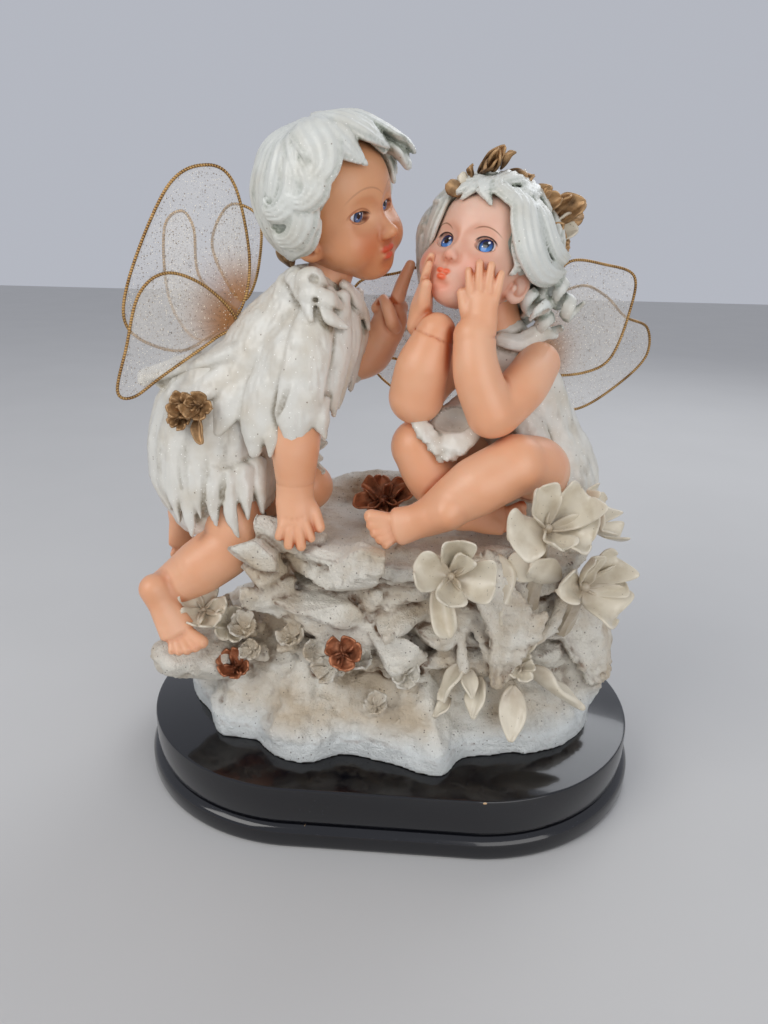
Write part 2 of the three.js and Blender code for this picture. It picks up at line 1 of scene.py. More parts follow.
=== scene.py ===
import bpy
import math
import numpy as np
import openvdb
from mathutils import Matrix, Vector


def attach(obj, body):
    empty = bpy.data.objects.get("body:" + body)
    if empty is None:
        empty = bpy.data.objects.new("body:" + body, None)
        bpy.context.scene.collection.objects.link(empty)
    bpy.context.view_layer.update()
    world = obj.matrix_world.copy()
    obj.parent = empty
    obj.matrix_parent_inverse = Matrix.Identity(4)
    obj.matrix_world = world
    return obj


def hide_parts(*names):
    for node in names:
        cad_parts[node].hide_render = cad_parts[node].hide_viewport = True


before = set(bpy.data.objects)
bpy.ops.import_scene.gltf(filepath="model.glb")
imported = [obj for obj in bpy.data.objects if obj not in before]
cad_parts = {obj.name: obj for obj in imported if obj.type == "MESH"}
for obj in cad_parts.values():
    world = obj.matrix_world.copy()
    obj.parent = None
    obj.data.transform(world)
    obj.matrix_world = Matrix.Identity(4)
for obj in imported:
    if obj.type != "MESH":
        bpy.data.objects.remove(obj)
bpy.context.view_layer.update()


# Millimetres are used while shaping, metres in the finished meshes.
# The figures are pressed from clay: a grid of distances that balls, rods and ribbons are blended into.
farAway = 5.0  # the distance that empty clay starts with
coarser = 1.0  # how many times larger every clay's cells are than given
ballMargin, bandMargin = 1.5, 1.2  # how far past the blend the distances round a shape are still exact
probes = {"hollow": 2.2, "crevice": 0.9, "edge": 1.2}  # how far from the skin each look is felt for


def turnOf(yaw=0, pitch=0, roll=0):
    turn = Matrix.Rotation(math.radians(yaw), 3, "Z") @ Matrix.Rotation(math.radians(-pitch), 3, "Y")
    return np.array(turn @ Matrix.Rotation(math.radians(roll), 3, "X"))


def poseTurn(pose):
    return turnOf(pose.get("yaw", 0), pose.get("pitch", 0), pose.get("roll", 0))


def carry(pose, points):  # from a part's own frame, x forward, y to its left, z up, to the object's
    return np.array(points, float) @ poseTurn(pose).T * pose.get("size", 1) + np.array(pose["at"], float)


def newClay(low, high, cell):
    cell = cell * coarser
    shape = np.ceil((np.array(high, float) - np.array(low, float)) / cell).astype(int) + 1
    return {"low": np.array(low, float), "cell": cell, "field": np.full(shape, farAway, np.float32)}


def windowOf(clay, low, high):
    shape = clay["field"].shape
    first = np.clip(np.floor((low - clay["low"]) / clay["cell"]).astype(int), 0, shape)
    last = np.clip(np.ceil((high - clay["low"]) / clay["cell"]).astype(int) + 1, 0, shape)
    if (last <= first).any():
        return None, None
    axes = [clay["low"][i] + clay["cell"] * np.arange(first[i], last[i]) for i in range(3)]
    x, y, z = (axis.astype(np.float32) for axis in axes)
    part = tuple(slice(a, b) for a, b in zip(first, last))
    return part, (x[:, None, None], y[None, :, None], z[None, None, :])


def press(clay, part, distance, blend, carve=False):
    old = clay["field"][part]
    if carve:
        near = np.maximum(blend - np.abs(old + distance), 0) / blend
        clay["field"][part] = np.maximum(old, -distance) + near * near * (blend / 4)
    else:
        near = np.maximum(blend - np.abs(old - distance), 0) / blend
        clay["field"][part] = np.minimum(old, distance) - near * near * (blend / 4)


def addBall(clay, at, reach, blend=2.0, turn=None, carve=False):
    at = np.array(at, float)
    reach = np.array(reach, float) * np.ones(3)
    turn = np.eye(3) if turn is None else turn
    half = np.abs(turn) @ reach + blend + ballMargin
    part, axes = windowOf(clay, at - half, at + half)
    if part is None:
        return
    offset = [axes[i] - np.float32(at[i]) for i in range(3)]
    first = second = 0
    for i in range(3):
        local = sum(np.float32(turn[j, i]) * offset[j] for j in range(3))
        first = first + (local / np.float32(reach[i])) ** 2
        second = second + (local / np.float32(reach[i] ** 2)) ** 2
    first = np.sqrt(first)
    distance = first * (first - 1) / np.maximum(np.sqrt(second), 1e-4)
    press(clay, part, distance, blend, carve)


def smoothPath(stops, count):
    stops = np.array(stops, float)
    padded = np.vstack([2 * stops[0] - stops[1], stops, 2 * stops[-1] - stops[-2]])
    place = np.linspace(0, len(stops) - 1, count)
    low = np.minimum(place.astype(int), len(stops) - 2)
    f = (place - low)[:, None]
    a, b, c, d = (padded[low + i] for i in range(4))
    square, cube = 2 * a - 5 * b + 4 * c - d, 3 * b - a - 3 * c + d
    return 0.5 * (2 * b + (c - a) * f + square * f ** 2 + cube * f ** 3)


def spread(values, count):
    values = np.array(values, float)
    at = np.linspace(0, len(values) - 1, count)
    if values.ndim == 1:
        return np.interp(at, np.arange(len(values)), values)
    return np.stack([np.interp(at, np.arange(len(values)), values[:, i]) for i in range(values.shape[1])], 1)


def unit(vectors):
    return vectors / np.maximum(np.linalg.norm(vectors, axis=-1, keepdims=True), 1e-9)


# A bent band: half widths and half thicknesses along it, out the way its face looks, grooves along it.
def addRibbon(clay, stops, widths, thicks, out, blend=1.0, steps=None, grooves=0, depth=0.0, carve=False):
    count = steps or 5 * (len(stops) - 1) + 1
    path = smoothPath(stops, count)
    wide, thick = spread(widths, count), spread(thicks, count)
    out = np.array(out, float)
    facing = np.tile(out, (count, 1)) if out.ndim == 1 else spread(out, count)
    along = unit(np.gradient(path, axis=0))
    side = unit(np.cross(facing, along))
    face = np.cross(along, side)
    reach = max(wide.max(), thick.max()) + blend + ballMargin
    part, _ = windowOf(clay, path.min(0) - reach, path.max(0) + reach)
    if part is None:
        return
    total = np.full(clay["field"][part].shape, farAway, np.float32)
    start = np.array([s.start for s in part])
    for i in range(count - 1):
        reach = max(wide[i], wide[i + 1], thick[i], thick[i + 1]) + blend + bandMargin
        low, high = np.minimum(path[i], path[i + 1]) - reach, np.maximum(path[i], path[i + 1]) + reach
        piece, axes = windowOf(clay, low, high)
        if piece is None:
            continue
        step = path[i + 1] - path[i]
        length = max(float(step @ step), 1e-9)
        q = [axes[k] - np.float32(path[i][k]) for k in range(3)]
        f = np.clip(sum(q[k] * np.float32(step[k] / length) for k in range(3)), 0, 1)
        q = [q[k] - f * np.float32(step[k]) for k in range(3)]

        def across(first, last):
            return sum(q[k] * (np.float32(first[k]) + f * np.float32(last[k] - first[k])) for k in range(3))

        u, v = across(side[i], side[i + 1]), across(face[i], face[i + 1])
        w2 = np.maximum(q[0] ** 2 + q[1] ** 2 + q[2] ** 2 - u * u - v * v, 0)
        a = np.float32(wide[i]) + f * np.float32(wide[i + 1] - wide[i])
        b = np.float32(thick[i]) + f * np.float32(thick[i + 1] - thick[i])
        first = np.sqrt((u / a) ** 2 + (v / b) ** 2 + w2 / (b * b))
        second = np.sqrt((u / (a * a)) ** 2 + (v / (b * b)) ** 2 + w2 / b ** 4)
        distance = first * (first - 1) / np.maximum(second, 1e-4)
        if grooves:
            distance = distance - depth * np.cos(u / a * (math.pi * grooves)) * np.clip(v / b + 0.6, 0, 1)
        inner = tuple(slice(s.start - z, s.stop - z) for s, z in zip(piece, start))
        np.minimum(total[inner], distance, out=total[inner])
    press(clay, part, total, blend, carve)


def addRod(clay, stops, radii, blend=2.0, steps=None, carve=False):
    anyWay = np.array([0.31, 0.52, 0.79])
    addRibbon(clay, stops, radii, radii, anyWay, blend, steps, carve=carve)


def mixCorners(low, f, valueAt):  # between the eight grid corners round each place
    value = 0
    for corner in range(8):
        bit = [(corner >> k) & 1 for k in range(3)]
        share = np.prod([f[:, k] if bit[k] else 1 - f[:, k] for k in range(3)], axis=0)
        value = value + share * valueAt(low + bit)
    return value


def sample(field, place):
    top = np.array(field.shape) - 2
    place = np.clip(place, 0, top + 0.999)
    low = np.minimum(place.astype(int), top)
    return mixCorners(low, place - low, lambda spots: field[tuple(spots.T)])


def makeMesh(name, points, faces, attributes=None):
    mesh = bpy.data.meshes.new(name)
    corners = faces.shape[1]
    mesh.vertices.add(len(points))
    mesh.vertices.foreach_set("co", (np.asarray(points) * 0.001).astype(np.float32).ravel())
    mesh.loops.add(faces.size)
    mesh.loops.foreach_set("vertex_index", faces.astype(np.int32).ravel())
    mesh.polygons.add(len(faces))
    mesh.polygons.foreach_set("loop_start", np.arange(0, faces.size, corners, dtype=np.int32))
    mesh.polygons.foreach_set("use_smooth", np.ones(len(faces), bool))
    mesh.update(calc_edges=True)
    for label, values in (attributes or {}).items():
        kind = "FLOAT_VECTOR" if values.ndim == 2 else "FLOAT"
        layer = mesh.attributes.new(label, kind, "POINT")
        layer.data.foreach_set("vector" if values.ndim == 2 else "value", values.astype(np.float32).ravel())
    piece = bpy.data.objects.new(name, mesh)
    bpy.context.scene.collection.objects.link(piece)
    return piece


# The clay's skin as a mesh, with how hollow and how sharp each place is, for the washes of paint and the
# painted shade in hollows and creases.
def clayPiece(name, clay, pose=None, shape=None):
    field, cell = clay["field"], clay["cell"]
    grid = openvdb.FloatGrid(3 * cell)
    grid.copyFromArray(np.clip(field, -3 * cell, 3 * cell))
    place, faces = grid.convertToQuads(0)
    place = place.astype(float)
    slope = np.stack([sample(field, place + d) - sample(field, place - d) for d in np.eye(3)], 1)
    out = unit(slope)
    corner = place[faces]
    facing = np.cross(corner[:, 2] - corner[:, 0], corner[:, 3] - corner[:, 1])
    if (facing * out[faces].mean(1)).sum() < 0:
        faces = faces[:, ::-1]
    looks = {}
    for label, far in probes.items():
        way = -1 if label == "edge" else 1
        looks[label] = np.clip(1 - way * sample(field, place + way * out * (far / cell)) / far, 0, 1)
    local = clay["low"] + cell * place
    if shape is not None:
        local = shape(local, out, looks)
    if pose is not None:
        looks["headSpot"] = local.copy()
        local = carry(pose, local)
    return makeMesh(name, local, faces, looks)


noiseBlock = np.random.default_rng(7).uniform(-1, 1, (32, 32, 32))


def noiseAt(points, size, shift):  # smooth value noise with bumps about that many millimetres wide
    place = np.asarray(points, float) / size + shift + 1000
    low = np.floor(place).astype(int)
    f = place - low
    return mixCorners(low, f * f * (3 - 2 * f), lambda spots: noiseBlock[tuple(spots.T % 32)])


def noiseGrid(axes, size, seed):  # the same over a grid, from a lattice of its own
    weights = []
    for axis in axes:
        line = axis.ravel().astype(float)
        place = (line - line[0]) / size
        low = np.floor(place).astype(int)
        f = place - low
        f = f * f * (3 - 2 * f)
        table = np.zeros((len(line), low.max() + 2), np.float32)
        table[np.arange(len(line)), low] = 1 - f
        table[np.arange(len(line)), low + 1] = f
        weights.append(table)
    lattice = np.random.default_rng(seed).uniform(-1, 1, [w.shape[1] for w in weights]).astype(np.float32)
    value = np.tensordot(weights[0], lattice, (1, 0))
    value = np.tensordot(value, weights[1], (1, 1)).transpose(0, 2, 1)
    return np.tensordot(value, weights[2], (2, 1))


headPoses = {
    "leaning": {"at": [-26.8, -8.6, 264.6], "yaw": -31, "pitch": -1, "roll": 15.5, "size": 0.99},
    "seated": {"at": [35, -3.3, 247], "yaw": -120, "pitch": 20, "roll": -8, "size": 0.92},
}
faces = {
    "leaning": {"eyes": [[19.9, -9.8, -1.4], [20.6, 7.8, -0.9]], "open": [4.3, 1.95], "tilt": [-7, 7],
                "ball": 6.6, "gaze": [[1, -0.12, -0.2], [1, 0.1, -0.2]], "mouth": [25.3, -0.9, -16.9],
                "mouthTurn": 0, "lip": 1.16, "ears": [1.6, -9.5], "nose": 1.0},
    "seated": {"eyes": [[19.7, 10.9, -0.9], [20.6, -8.3, -2.4]], "open": [4.4, 2.95], "tilt": [5, -7],
               "ball": 7.4, "gaze": [[1, 0.14, 0.12], [1, -0.16, 0.12]], "mouth": [25.2, -1.6, -17.3],
               "mouthTurn": -8, "lip": 0.96, "ears": [-1.0, -11], "nose": 0.8},
}


def sculptHead(name):
    face = faces[name]
    clay = newClay([-32, -29, -36], [36, 29, 34], 0.66)
    addBall(clay, [-3, 0, 5], [25.6, 23.3, 25.6])
    addBall(clay, [5, 0, -8], [19.3, 20.3, 18.8], 6)
    addBall(clay, [9, 0, 9], [14, 17, 14], 6)
    for side in (1, -1):
        addBall(clay, [13.6, 10.5 * side, -12.8], [9.6, 9.6, 9.0], 5)
    addBall(clay, [18.0, face["mouth"][1] * 0.5, -16.5], [6.6, 7.4, 6.0], 4)
    addBall(clay, [15.6, 0, -23.0], [7.2, 8.6, 5.6], 6)
    nose = face["nose"]
    bridge = [[20.6, 0, 2], [23.0, 0, -4], [24.0 + 2.4 * nose, 0, -8.6]]
    addRod(clay, bridge, np.array([2.2, 2.0, 2.3]) * nose, 4)
    addBall(clay, [23.4 + 3.8 * nose, 0, -9.3], np.array([2.6, 2.7, 2.3]) * nose, 1.8)
    for side in (1, -1):
        addBall(clay, [23.2 + 2.2 * nose, 2.7 * nose * side, -10.2], np.array([1.9, 1.3, 1.3]) * nose, 1.6)
        addBall(clay, [23.4 + 3.4 * nose, 1.3 * side, -9.4 - 2.2 * nose], [0.7, 0.6, 0.5], 0.4, carve=True)
    for eye, gaze, tilt in zip(face["eyes"], face["gaze"], face["tilt"]):
        eye, gaze = np.array(eye), unit(np.array(gaze, float))
        side = math.copysign(1, eye[1])
        addBall(clay, eye + [5.0, 0.4 * side, 0.6], [4.8, 6.8, 5.2], 4, carve=True)
        middle = eye - gaze * face["ball"] - [0.6, 0, 0]
        addBall(clay, middle, np.ones(3) * (face["ball"] + 0.8), 1.8)
        turn = turnOf(math.degrees(math.atan2(gaze[1], gaze[0])) + 6 * side, 0, tilt)
        wide, tall = face["open"]
        addBall(clay, middle + gaze * (face["ball"] - 0.4), [5.5, wide, tall], 0.4, turn, carve=True)
    mouth, lip = np.array(face["mouth"]), face["lip"]
    turn = turnOf(0, 0, face["mouthTurn"])
    for side in (1, -1):
        half = turn @ turnOf(0, 0, 13 * side)
        addBall(clay, mouth + turn @ [-1.4, 1.6 * side * lip, 1.05 * lip], np.array([1.9, 2.3, 1.15]) * lip,
                1.2, half)
    under = [[-2.0, -3.4, 0.5], [-0.9, -1.8, -1.0], [-0.5, 0, -1.45], [-0.9, 1.8, -1.0], [-2.0, 3.4, 0.5]]
    cut = [[-2.3, -4.1, 1.5], [-0.3, -2.2, 0.25], [0.5, 0, -0.25], [-0.3, 2.2, 0.25], [-2.3, 4.1, 1.5]]
    under, cut = ([mouth + turn @ (np.array(stop) * lip) for stop in stops] for stops in (under, cut))
    addRod(clay, under, np.array([0.5, 1.1, 1.35, 1.1, 0.5]) * lip, 1.0, 21)
    addRod(clay, cut, [0.3, 0.4, 0.55, 0.4, 0.3], 0.4, 25, carve=True)
    addRod(clay, [mouth + [0.7, 0, 3.4 * lip], [26.0, mouth[1] * 0.6, -12.9]], [0.7, 0.6], 1.2, carve=True)
    addBall(clay, mouth + [-0.6, 0, -4.6], [1.2, 3.0, 0.8], 2.4, carve=True)
    earX, earZ = face["ears"]
    for side in (1, -1):
        tilted = turnOf(-34 * side, 12, 0)
        addBall(clay, [earX, 21.6 * side, earZ], [6.2, 2.4, 7.4], 1.2, tilted)
        addBall(clay, [earX + 1.2, 23.9 * side, earZ + 0.6], [3.9, 2.4, 4.8], 1.0, tilted, carve=True)
        addBall(clay, [earX + 3.0, 21.4 * side, earZ - 1.2], [1.6, 1.8, 2.2], 0.8, tilted)
    return clayPiece(name + "_head", clay, headPoses[name])


def eyeBall(name, number):
    face, pose = faces[name], headPoses[name]
    eye = np.array(face["eyes"][number], float)
    gaze = unit(np.array(face["gaze"][number], float))
    middle = eye - gaze * face["ball"] - [0.6, 0, 0]
    bpy.ops.object.select_all(action="DESELECT")
    bpy.ops.mesh.primitive_uv_sphere_add(segments=40, ring_count=24, radius=face["ball"])
    ball = bpy.context.object
    ball.name = f"{name}_eye_{number + 1}"
    bpy.ops.object.shade_smooth()
    local = np.array([v.co for v in ball.data.vertices])
    spots = local + middle
    placed = carry(pose, spots) * 0.001
    turn = turnOf(math.degrees(math.atan2(gaze[1], gaze[0])), math.degrees(math.asin(gaze[2])), 0)
    ball.data.vertices.foreach_set("co", placed.astype(np.float32).ravel())
    layer = ball.data.attributes.new("eyeSpot", "FLOAT_VECTOR", "POINT")
    layer.data.foreach_set("vector", (local @ turn).astype(np.float32).ravel())
    return ball


skullCentre = np.array([-4, 0, 5.0])
skullReach = np.array([26, 24, 26.0])
lockBlend, lockGrooves, grooveDepth = 0.35, 4, 0.36


def onSkull(azimuth, polar, lift):
    a, p = math.radians(azimuth), math.radians(polar)
    out = np.array([math.sin(p) * math.cos(a), math.sin(p) * math.sin(a), math.cos(p)])
    return skullCentre + (skullReach + lift) * out


# A lock of hair: stops of azimuth from the face, polar angle from the crown and lift off the skull.
def addLock(clay, stops, widths, thicks):
    points = np.array([onSkull(*stop) for stop in stops])
    out = unit(points - skullCentre)
    steps = 6 * (len(stops) - 1) + 1
    addRibbon(clay, points, widths, thicks, out, lockBlend, steps, lockGrooves, grooveDepth)


def addCap(clay, lift, opening):
    addBall(clay, skullCentre, skullReach + lift)
    for at, reach in opening:
        addBall(clay, at, reach, 2.0, carve=True)


bobLocks = [  # stops, half widths, half thicknesses: the side that the light falls on, back to front
    ([(-120, 10, 1), (-123, 44, 2.6), (-123, 73, 3), (-128, 104, 2.5), (-124, 124, 3)], [3, 8, 9, 8, 3],
     [1.5, 2, 2, 2, 1.2]),
    ([(-100, 12, 1.5), (-105, 44, 3.4), (-108, 73, 3.8), (-114, 100, 3.4), (-112, 122, 3.6),
      (-124, 138, 4.4)], [3, 7.5, 8, 7, 5, 1.6], [1.5, 2.1, 2.2, 2, 1.8, 1]),
    ([(-84, 60, 2.5), (-88, 86, 4), (-92, 106, 4.5), (-84, 118, 5.5)], [4, 6, 5, 1.3], [2, 2.2, 2, 0.9]),
    ([(-74, 84, 3), (-69, 98, 4.8), (-76, 112, 5.6), (-94, 122, 5.2), (-116, 136, 4.6)],
     [4, 6, 5.4, 4.4, 1.4], [2, 2.4, 2.3, 2, 1]),
    ([(-86, 14, 2), (-86, 44, 4), (-88, 68, 4.8), (-95, 92, 4.8), (-104, 112, 4.6)], [3, 7, 7.4, 6, 2],
     [1.5, 2.2, 2.2, 2, 1]),
    ([(-74, 58, 3), (-70, 79, 4.8), (-70, 95, 6.2), (-80, 107, 7.4), (-93, 108, 8), (-96, 100, 8)],
     [4, 7, 6.2, 4.8, 3, 1], [2, 2.4, 2.4, 2.2, 1.8, 0.9]),
    ([(-70, 28, 3), (-71, 58, 5), (-74, 78, 6), (-85, 89, 7.2), (-97, 90, 7.6), (-99, 82, 7.4)],
     [3.4, 7.6, 6.8, 4.8, 3, 1], [1.8, 2.4, 2.4, 2.2, 1.8, 0.9]),
    ([(-72, 44, 3.5), (-60, 64, 6), (-59, 77, 7), (-68, 84, 7.4), (-79, 81, 7.2), (-79, 75, 7)],
     [4, 7.4, 6, 4.2, 2.6, 0.9], [2, 2.6, 2.4, 2.2, 1.6, 0.9]),
    ([(-80, 16, 2.4), (-74, 40, 5), (-70, 58, 5.8), (-69, 72, 5.6)], [2.6, 6.2, 5.2, 1.4],
     [1.8, 2.3, 2.2, 1]),
    ([(-78, 14, 2.6), (-58, 34, 5.8), (-49, 52, 7), (-51, 65, 7.2), (-61, 71, 7), (-70, 69, 6.6),
      (-70, 64, 6.2)], [2.6, 8.6, 8.4, 6, 4, 2.4, 0.9], [1.8, 2.7, 2.8, 2.4, 2, 1.5, 0.9]),
]
fringeLocks = [
    ([(70, 12, 1.5), (34, 34, 3.6), (24, 50, 4.2), (22, 63, 4.6)], [3, 8, 8, 3], [1.8, 2.2, 2.2, 1.1]),
    ([(52, 60, 3.4), (46, 76, 4), (38, 88, 3.4)], [5, 5, 1.3], [2, 2, 1]),
    ([(46, 46, 3), (42, 62, 6), (37, 72, 9), (34, 79, 10)], [6, 8, 7.4, 4], [2.4, 2.6, 2.6, 1.8]),
    ([(84, 10, 2.5), (52, 34, 6), (42, 54, 9), (37, 66, 12.2), (33, 71, 14.2)], [4, 9.4, 10.4, 9.4, 5],
     [1.8, 2.4, 2.2, 1.8, 1.0]),
    ([(40, 10, 3), (16, 34, 5.2), (16, 50, 6.2), (24, 60, 7)], [3, 5, 4.6, 1.2], [1.8, 2.2, 2.2, 1]),
    ([(-40, 8, 3), (-36, 33, 5.2), (-29, 50, 6.2), (-14, 67, 5.4)], [3, 8.4, 7.6, 0.8], [2, 2.6, 2.6, 0.9]),
    ([(-10, 8, 3), (-4, 30, 5.6), (4, 46, 7), (14, 62, 8)], [3, 8, 7, 1.2], [2, 2.6, 2.6, 0.9]),
]


def sculptBob():
    clay = newClay([-43, -39, -34], [44, 39, 46], 0.84)
    addCap(clay, 1.0, [([19, 0, -11], [24, 28, 25]), ([8, 0, -32], [24, 30, 20])])
    for stops, widths, thicks in bobLocks:
        mirrored = [(6 - azimuth, polar + 2, lift) for azimuth, polar, lift in stops]
        addLock(clay, mirrored, widths, thicks)
    for azimuth in (150, 176, 202, 226):
        stops = [(azimuth, 10, 1.5), (azimuth + 7, 44, 3), (azimuth - 5, 80, 3.6), (azimuth + 5, 112, 3.4),
                 (azimuth - 6, 138, 5)]
        addLock(clay, stops, [3, 8, 8.5, 7, 2], [1.6, 2.2, 2.2, 2.2, 1.1])
    for stops, widths, thicks in bobLocks + fringeLocks:
        addLock(clay, stops, widths, thicks)
    return clayPiece("leaning_hair", clay, headPoses["leaning"])


curlLocks = [
    ([(-30, 46, 2.5), (-46, 66, 4), (-40, 84, 4.2), (-44, 100, 4.2), (-58, 114, 5)], [4, 7, 6, 5, 1.4],
     [2, 2.4, 2.4, 2.2, 1]),
    ([(-60, 60, 3), (-62, 84, 4.4), (-56, 104, 5), (-66, 122, 6)], [5, 6, 5, 1.5], [2, 2.4, 2.2, 1]),
    ([(2, 36, 2.5), (-14, 46, 4.4), (-30, 52, 5.6), (-42, 54, 6.8)], [3, 5, 4, 1.4], [1.8, 2, 1.9, 1]),
    ([(-20, 46, 3), (-38, 57, 4.8), (-50, 66, 6), (-46, 74, 6.6), (-38, 74, 6.4)], [3, 4.6, 4, 2.6, 1],
     [1.8, 2, 1.9, 1.6, 0.9]),
    ([(-2, 40, 3), (-10, 53, 4.2), (-21, 62, 4.8), (-31, 61, 5.6)], [3, 4, 3, 1.1], [1.8, 2, 1.8, 0.9]),
    ([(0, 38, 3), (-2, 52, 4.4), (-8, 62, 4.4), (-12, 70, 3.8)], [3, 3.4, 2.4, 0.8], [1.7, 1.8, 1.6, 0.8]),
    ([(2, 36, 3), (1, 49, 4.6), (7, 59, 4.8), (20, 70, 3.8)], [3.5, 4.6, 3.4, 0.7], [1.8, 2, 1.8, 0.8]),
    ([(16, 38, 3), (22, 52, 4.6), (36, 60, 5.2), (50, 70, 4.2)], [4, 4.8, 4.2, 1.1], [1.8, 2, 1.8, 0.9]),
    ([(40, 44, 3), (49, 60, 4.8), (54, 76, 5.4), (64, 92, 6.4), (82, 102, 7.6), (104, 98, 9.4),
      (118, 90, 11.4)], [4, 6.4, 7.6, 7.6, 6.6, 4.6, 1.5], [1.9, 2.4, 2.7, 2.8, 2.7, 2.2, 1]),
    ([(66, 42, 3), (74, 62, 5.4), (86, 80, 7.4), (104, 84, 9.4), (116, 80, 11.4)], [4, 6, 5.5, 4, 1.4],
     [2, 2.4, 2.4, 2, 1]),
    ([(50, 78, 3), (55, 95, 4), (63, 106, 4.6), (60, 116, 4.4)], [2.4, 3.2, 2.8, 0.9],
     [1.5, 1.7, 1.6, 0.8]),
]


def addCurl(clay, start, axis, turns, radius, wide, thick, phase):  # a ringlet that opens as it winds
    axis = unit(np.array(axis, float))
    across = unit(np.cross(axis, [0.3, 0.2, 0.9]))
    over = np.cross(axis, across)
    stops, outs = [], []
    for i in range(int(turns * 8) + 1):
        t = i / (turns * 8)
        angle = phase + 2 * math.pi * turns * t
        out = across * math.cos(angle) + over * math.sin(angle)
        stops.append(np.array(start) + axis * (t * turns * thick * 3.0) + out * radius * (0.55 + 0.45 * t))
        outs.append(out)
    addRibbon(clay, stops, [wide * 0.6, wide, wide, wide * 0.35], [thick * 0.5] * 3 + [0.5], np.array(outs),
              0.6, len(stops) * 2, 2, 0.18)


def sculptCurls():
    clay = newClay([-54, -39, -36], [38, 52, 42], 0.88)
    addCap(clay, 0.9, [([22, 0, -10], [19.5, 18.6, 25]), ([12, 0, -31], [26, 24, 17])])
    for azimuth in (128, 152, 176, 200, 224, 248, 272, 292):
        sway = 9 if azimuth % 48 else -9
        stops = [(azimuth + sway * swing, polar, lift) for swing, polar, lift in (
            (0, 14, 2.5), (1, 40, 5), (-1, 68, 6), (1, 94, 6.5), (-1, 118, 8), (0.5, 132, 10))]
        addLock(clay, stops, [4, 7, 7, 6.5, 5, 1.5], [2.5, 3.2, 3.4, 3.4, 3, 1.2])
    for azimuth in (20, 60, 100, -50, -90, -130):
        stops = [(azimuth, 4, 2), (azimuth + 10, 26, 4.5), (azimuth - 6, 46, 5)]
        addLock(clay, stops, [4, 7, 3], [2.5, 3, 1.5])
    for stops, widths, thicks in curlLocks:
        addLock(clay, stops, widths, thicks)
    for azimuth, polar in ((118, 100), (122, 116), (140, 120), (100, 122)):
        start = onSkull(azimuth, polar, 5)
        addCurl(clay, start, start - skullCentre + [0, 4, -8], 1.6, 6.2, 3.2, 2.6, azimuth * 0.1)
    addCurl(clay, onSkull(119, 108, 15), [-0.5, 1, -0.3], 1.5, 6.0, 3.0, 2.4, 1.0)
    addCurl(clay, onSkull(122, 122, 14), [-0.3, 0.8, -0.8], 1.4, 6.4, 3.2, 2.6, 2.4)
    return clayPiece("seated_hair", clay, headPoses["seated"])


def addRing(clay, at, axis, radius):  # a crease round a chubby wrist or ankle
    axis = unit(np.array(axis, float))
    across = unit(np.cross(axis, [0.2, 0.9, 0.35]))
    over = np.cross(axis, across)
    stops = [np.array(at) + radius * (across * math.cos(t) + over * math.sin(t))
             for t in np.linspace(0, 2 * math.pi, 17)]
    addRod(clay, stops, [0.34] * 17, 0.8, 33, carve=True)


def addHand(clay, pose, spread=15, thumb=1, slim=1.0):  # thumb: 1 or -1 for its side; slim: how long and thin
    size, turn, curl = pose.get("size", 1), poseTurn(pose), 0.5
    addRibbon(clay, carry(pose, [[-7, 0, 0.6], [1, 0, 0.9], [10, 0, 0.3]]),
              np.array([6.4, 8.2 / slim, 7.4 / slim]) * size, np.array([6.0, 5.2, 3.5]) * size, turn[:, 2],
              2.5, 14)
    for i, (reach, thick) in enumerate(((19.8, 2.6), (22.6, 2.8), (23.2, 2.8), (20.6, 2.5))):
        angle, reach, thick = (i - 1.5) * spread, reach * slim, thick / slim ** 1.3
        aim = turnOf(angle)[:, 0]
        start = aim * 8 + [0, (i - 1.5) * 2.2 * (slim > 1), 0]
        stops = [start, start + aim * (reach * 0.62 - 8) + [0, 0, 0.6],
                 start + aim * (reach - thick - 8) - [0, 0, curl]]
        addRod(clay, carry(pose, stops), np.array([thick * 0.95, thick, thick * 0.8]) * size, 0.7, 13)
        nail = carry(pose, [start + aim * (reach - 8.8) + [0, 0, thick * 0.62 - curl]])[0]
        addBall(clay, nail, np.array([1.5, 1.15, 0.32]) * size, 0.3, turn @ turnOf(angle, -12), carve=True)
        if slim == 1.0:
            addBall(clay, carry(pose, [aim * 9.4 + [0, 0, 4.6]])[0], [0.7 * size] * 3, 1.2, carve=True)
    stops = [[-1, 3 * thumb, 0], [4.5, 7.6 * thumb / slim, -0.3], [12, 10.6 * thumb / slim, -0.8]]
    addRod(clay, carry(pose, stops), np.array([3.8, 3.2, 2.5]) * size, 1.4, 13)


def addFoot(clay, pose, side=1):  # side: 1 or -1 for where the big toe is
    size, turn = pose.get("size", 1), poseTurn(pose)
    addBall(clay, carry(pose, [[-7.5, 0, 5.2]])[0], np.array([6.8, 6.6, 5.6]) * size, 4, turn)
    addRibbon(clay, carry(pose, [[-6, 0, 13], [2, 0, 8.5], [17, 0, 4.3]]), np.array([8.0, 7.4, 9.4]) * size,
              np.array([8.0, 6.8, 4.1]) * size, turn[:, 2], 3)
    for i, thick in enumerate((3.5, 2.7, 2.5, 2.3, 2.0)):
        angle = (22 - 11.5 * i) * side
        aim, reach = turnOf(angle)[:, 0], 25 - 1.3 * i
        start = np.array([9, 0, 3.2])
        addRod(clay, carry(pose, [start + aim * 9, start + aim * (reach - thick)]),
               np.array([thick * 0.85, thick]) * size, 0.7, 6)
        nail = carry(pose, [start + aim * (reach - 0.7) + [0, 0, thick * 0.7]])[0]
        reach = np.array([1.4, thick * 0.5, 0.4]) * size
        addBall(clay, nail, reach, 0.3, turn @ turnOf(angle, -20), carve=True)


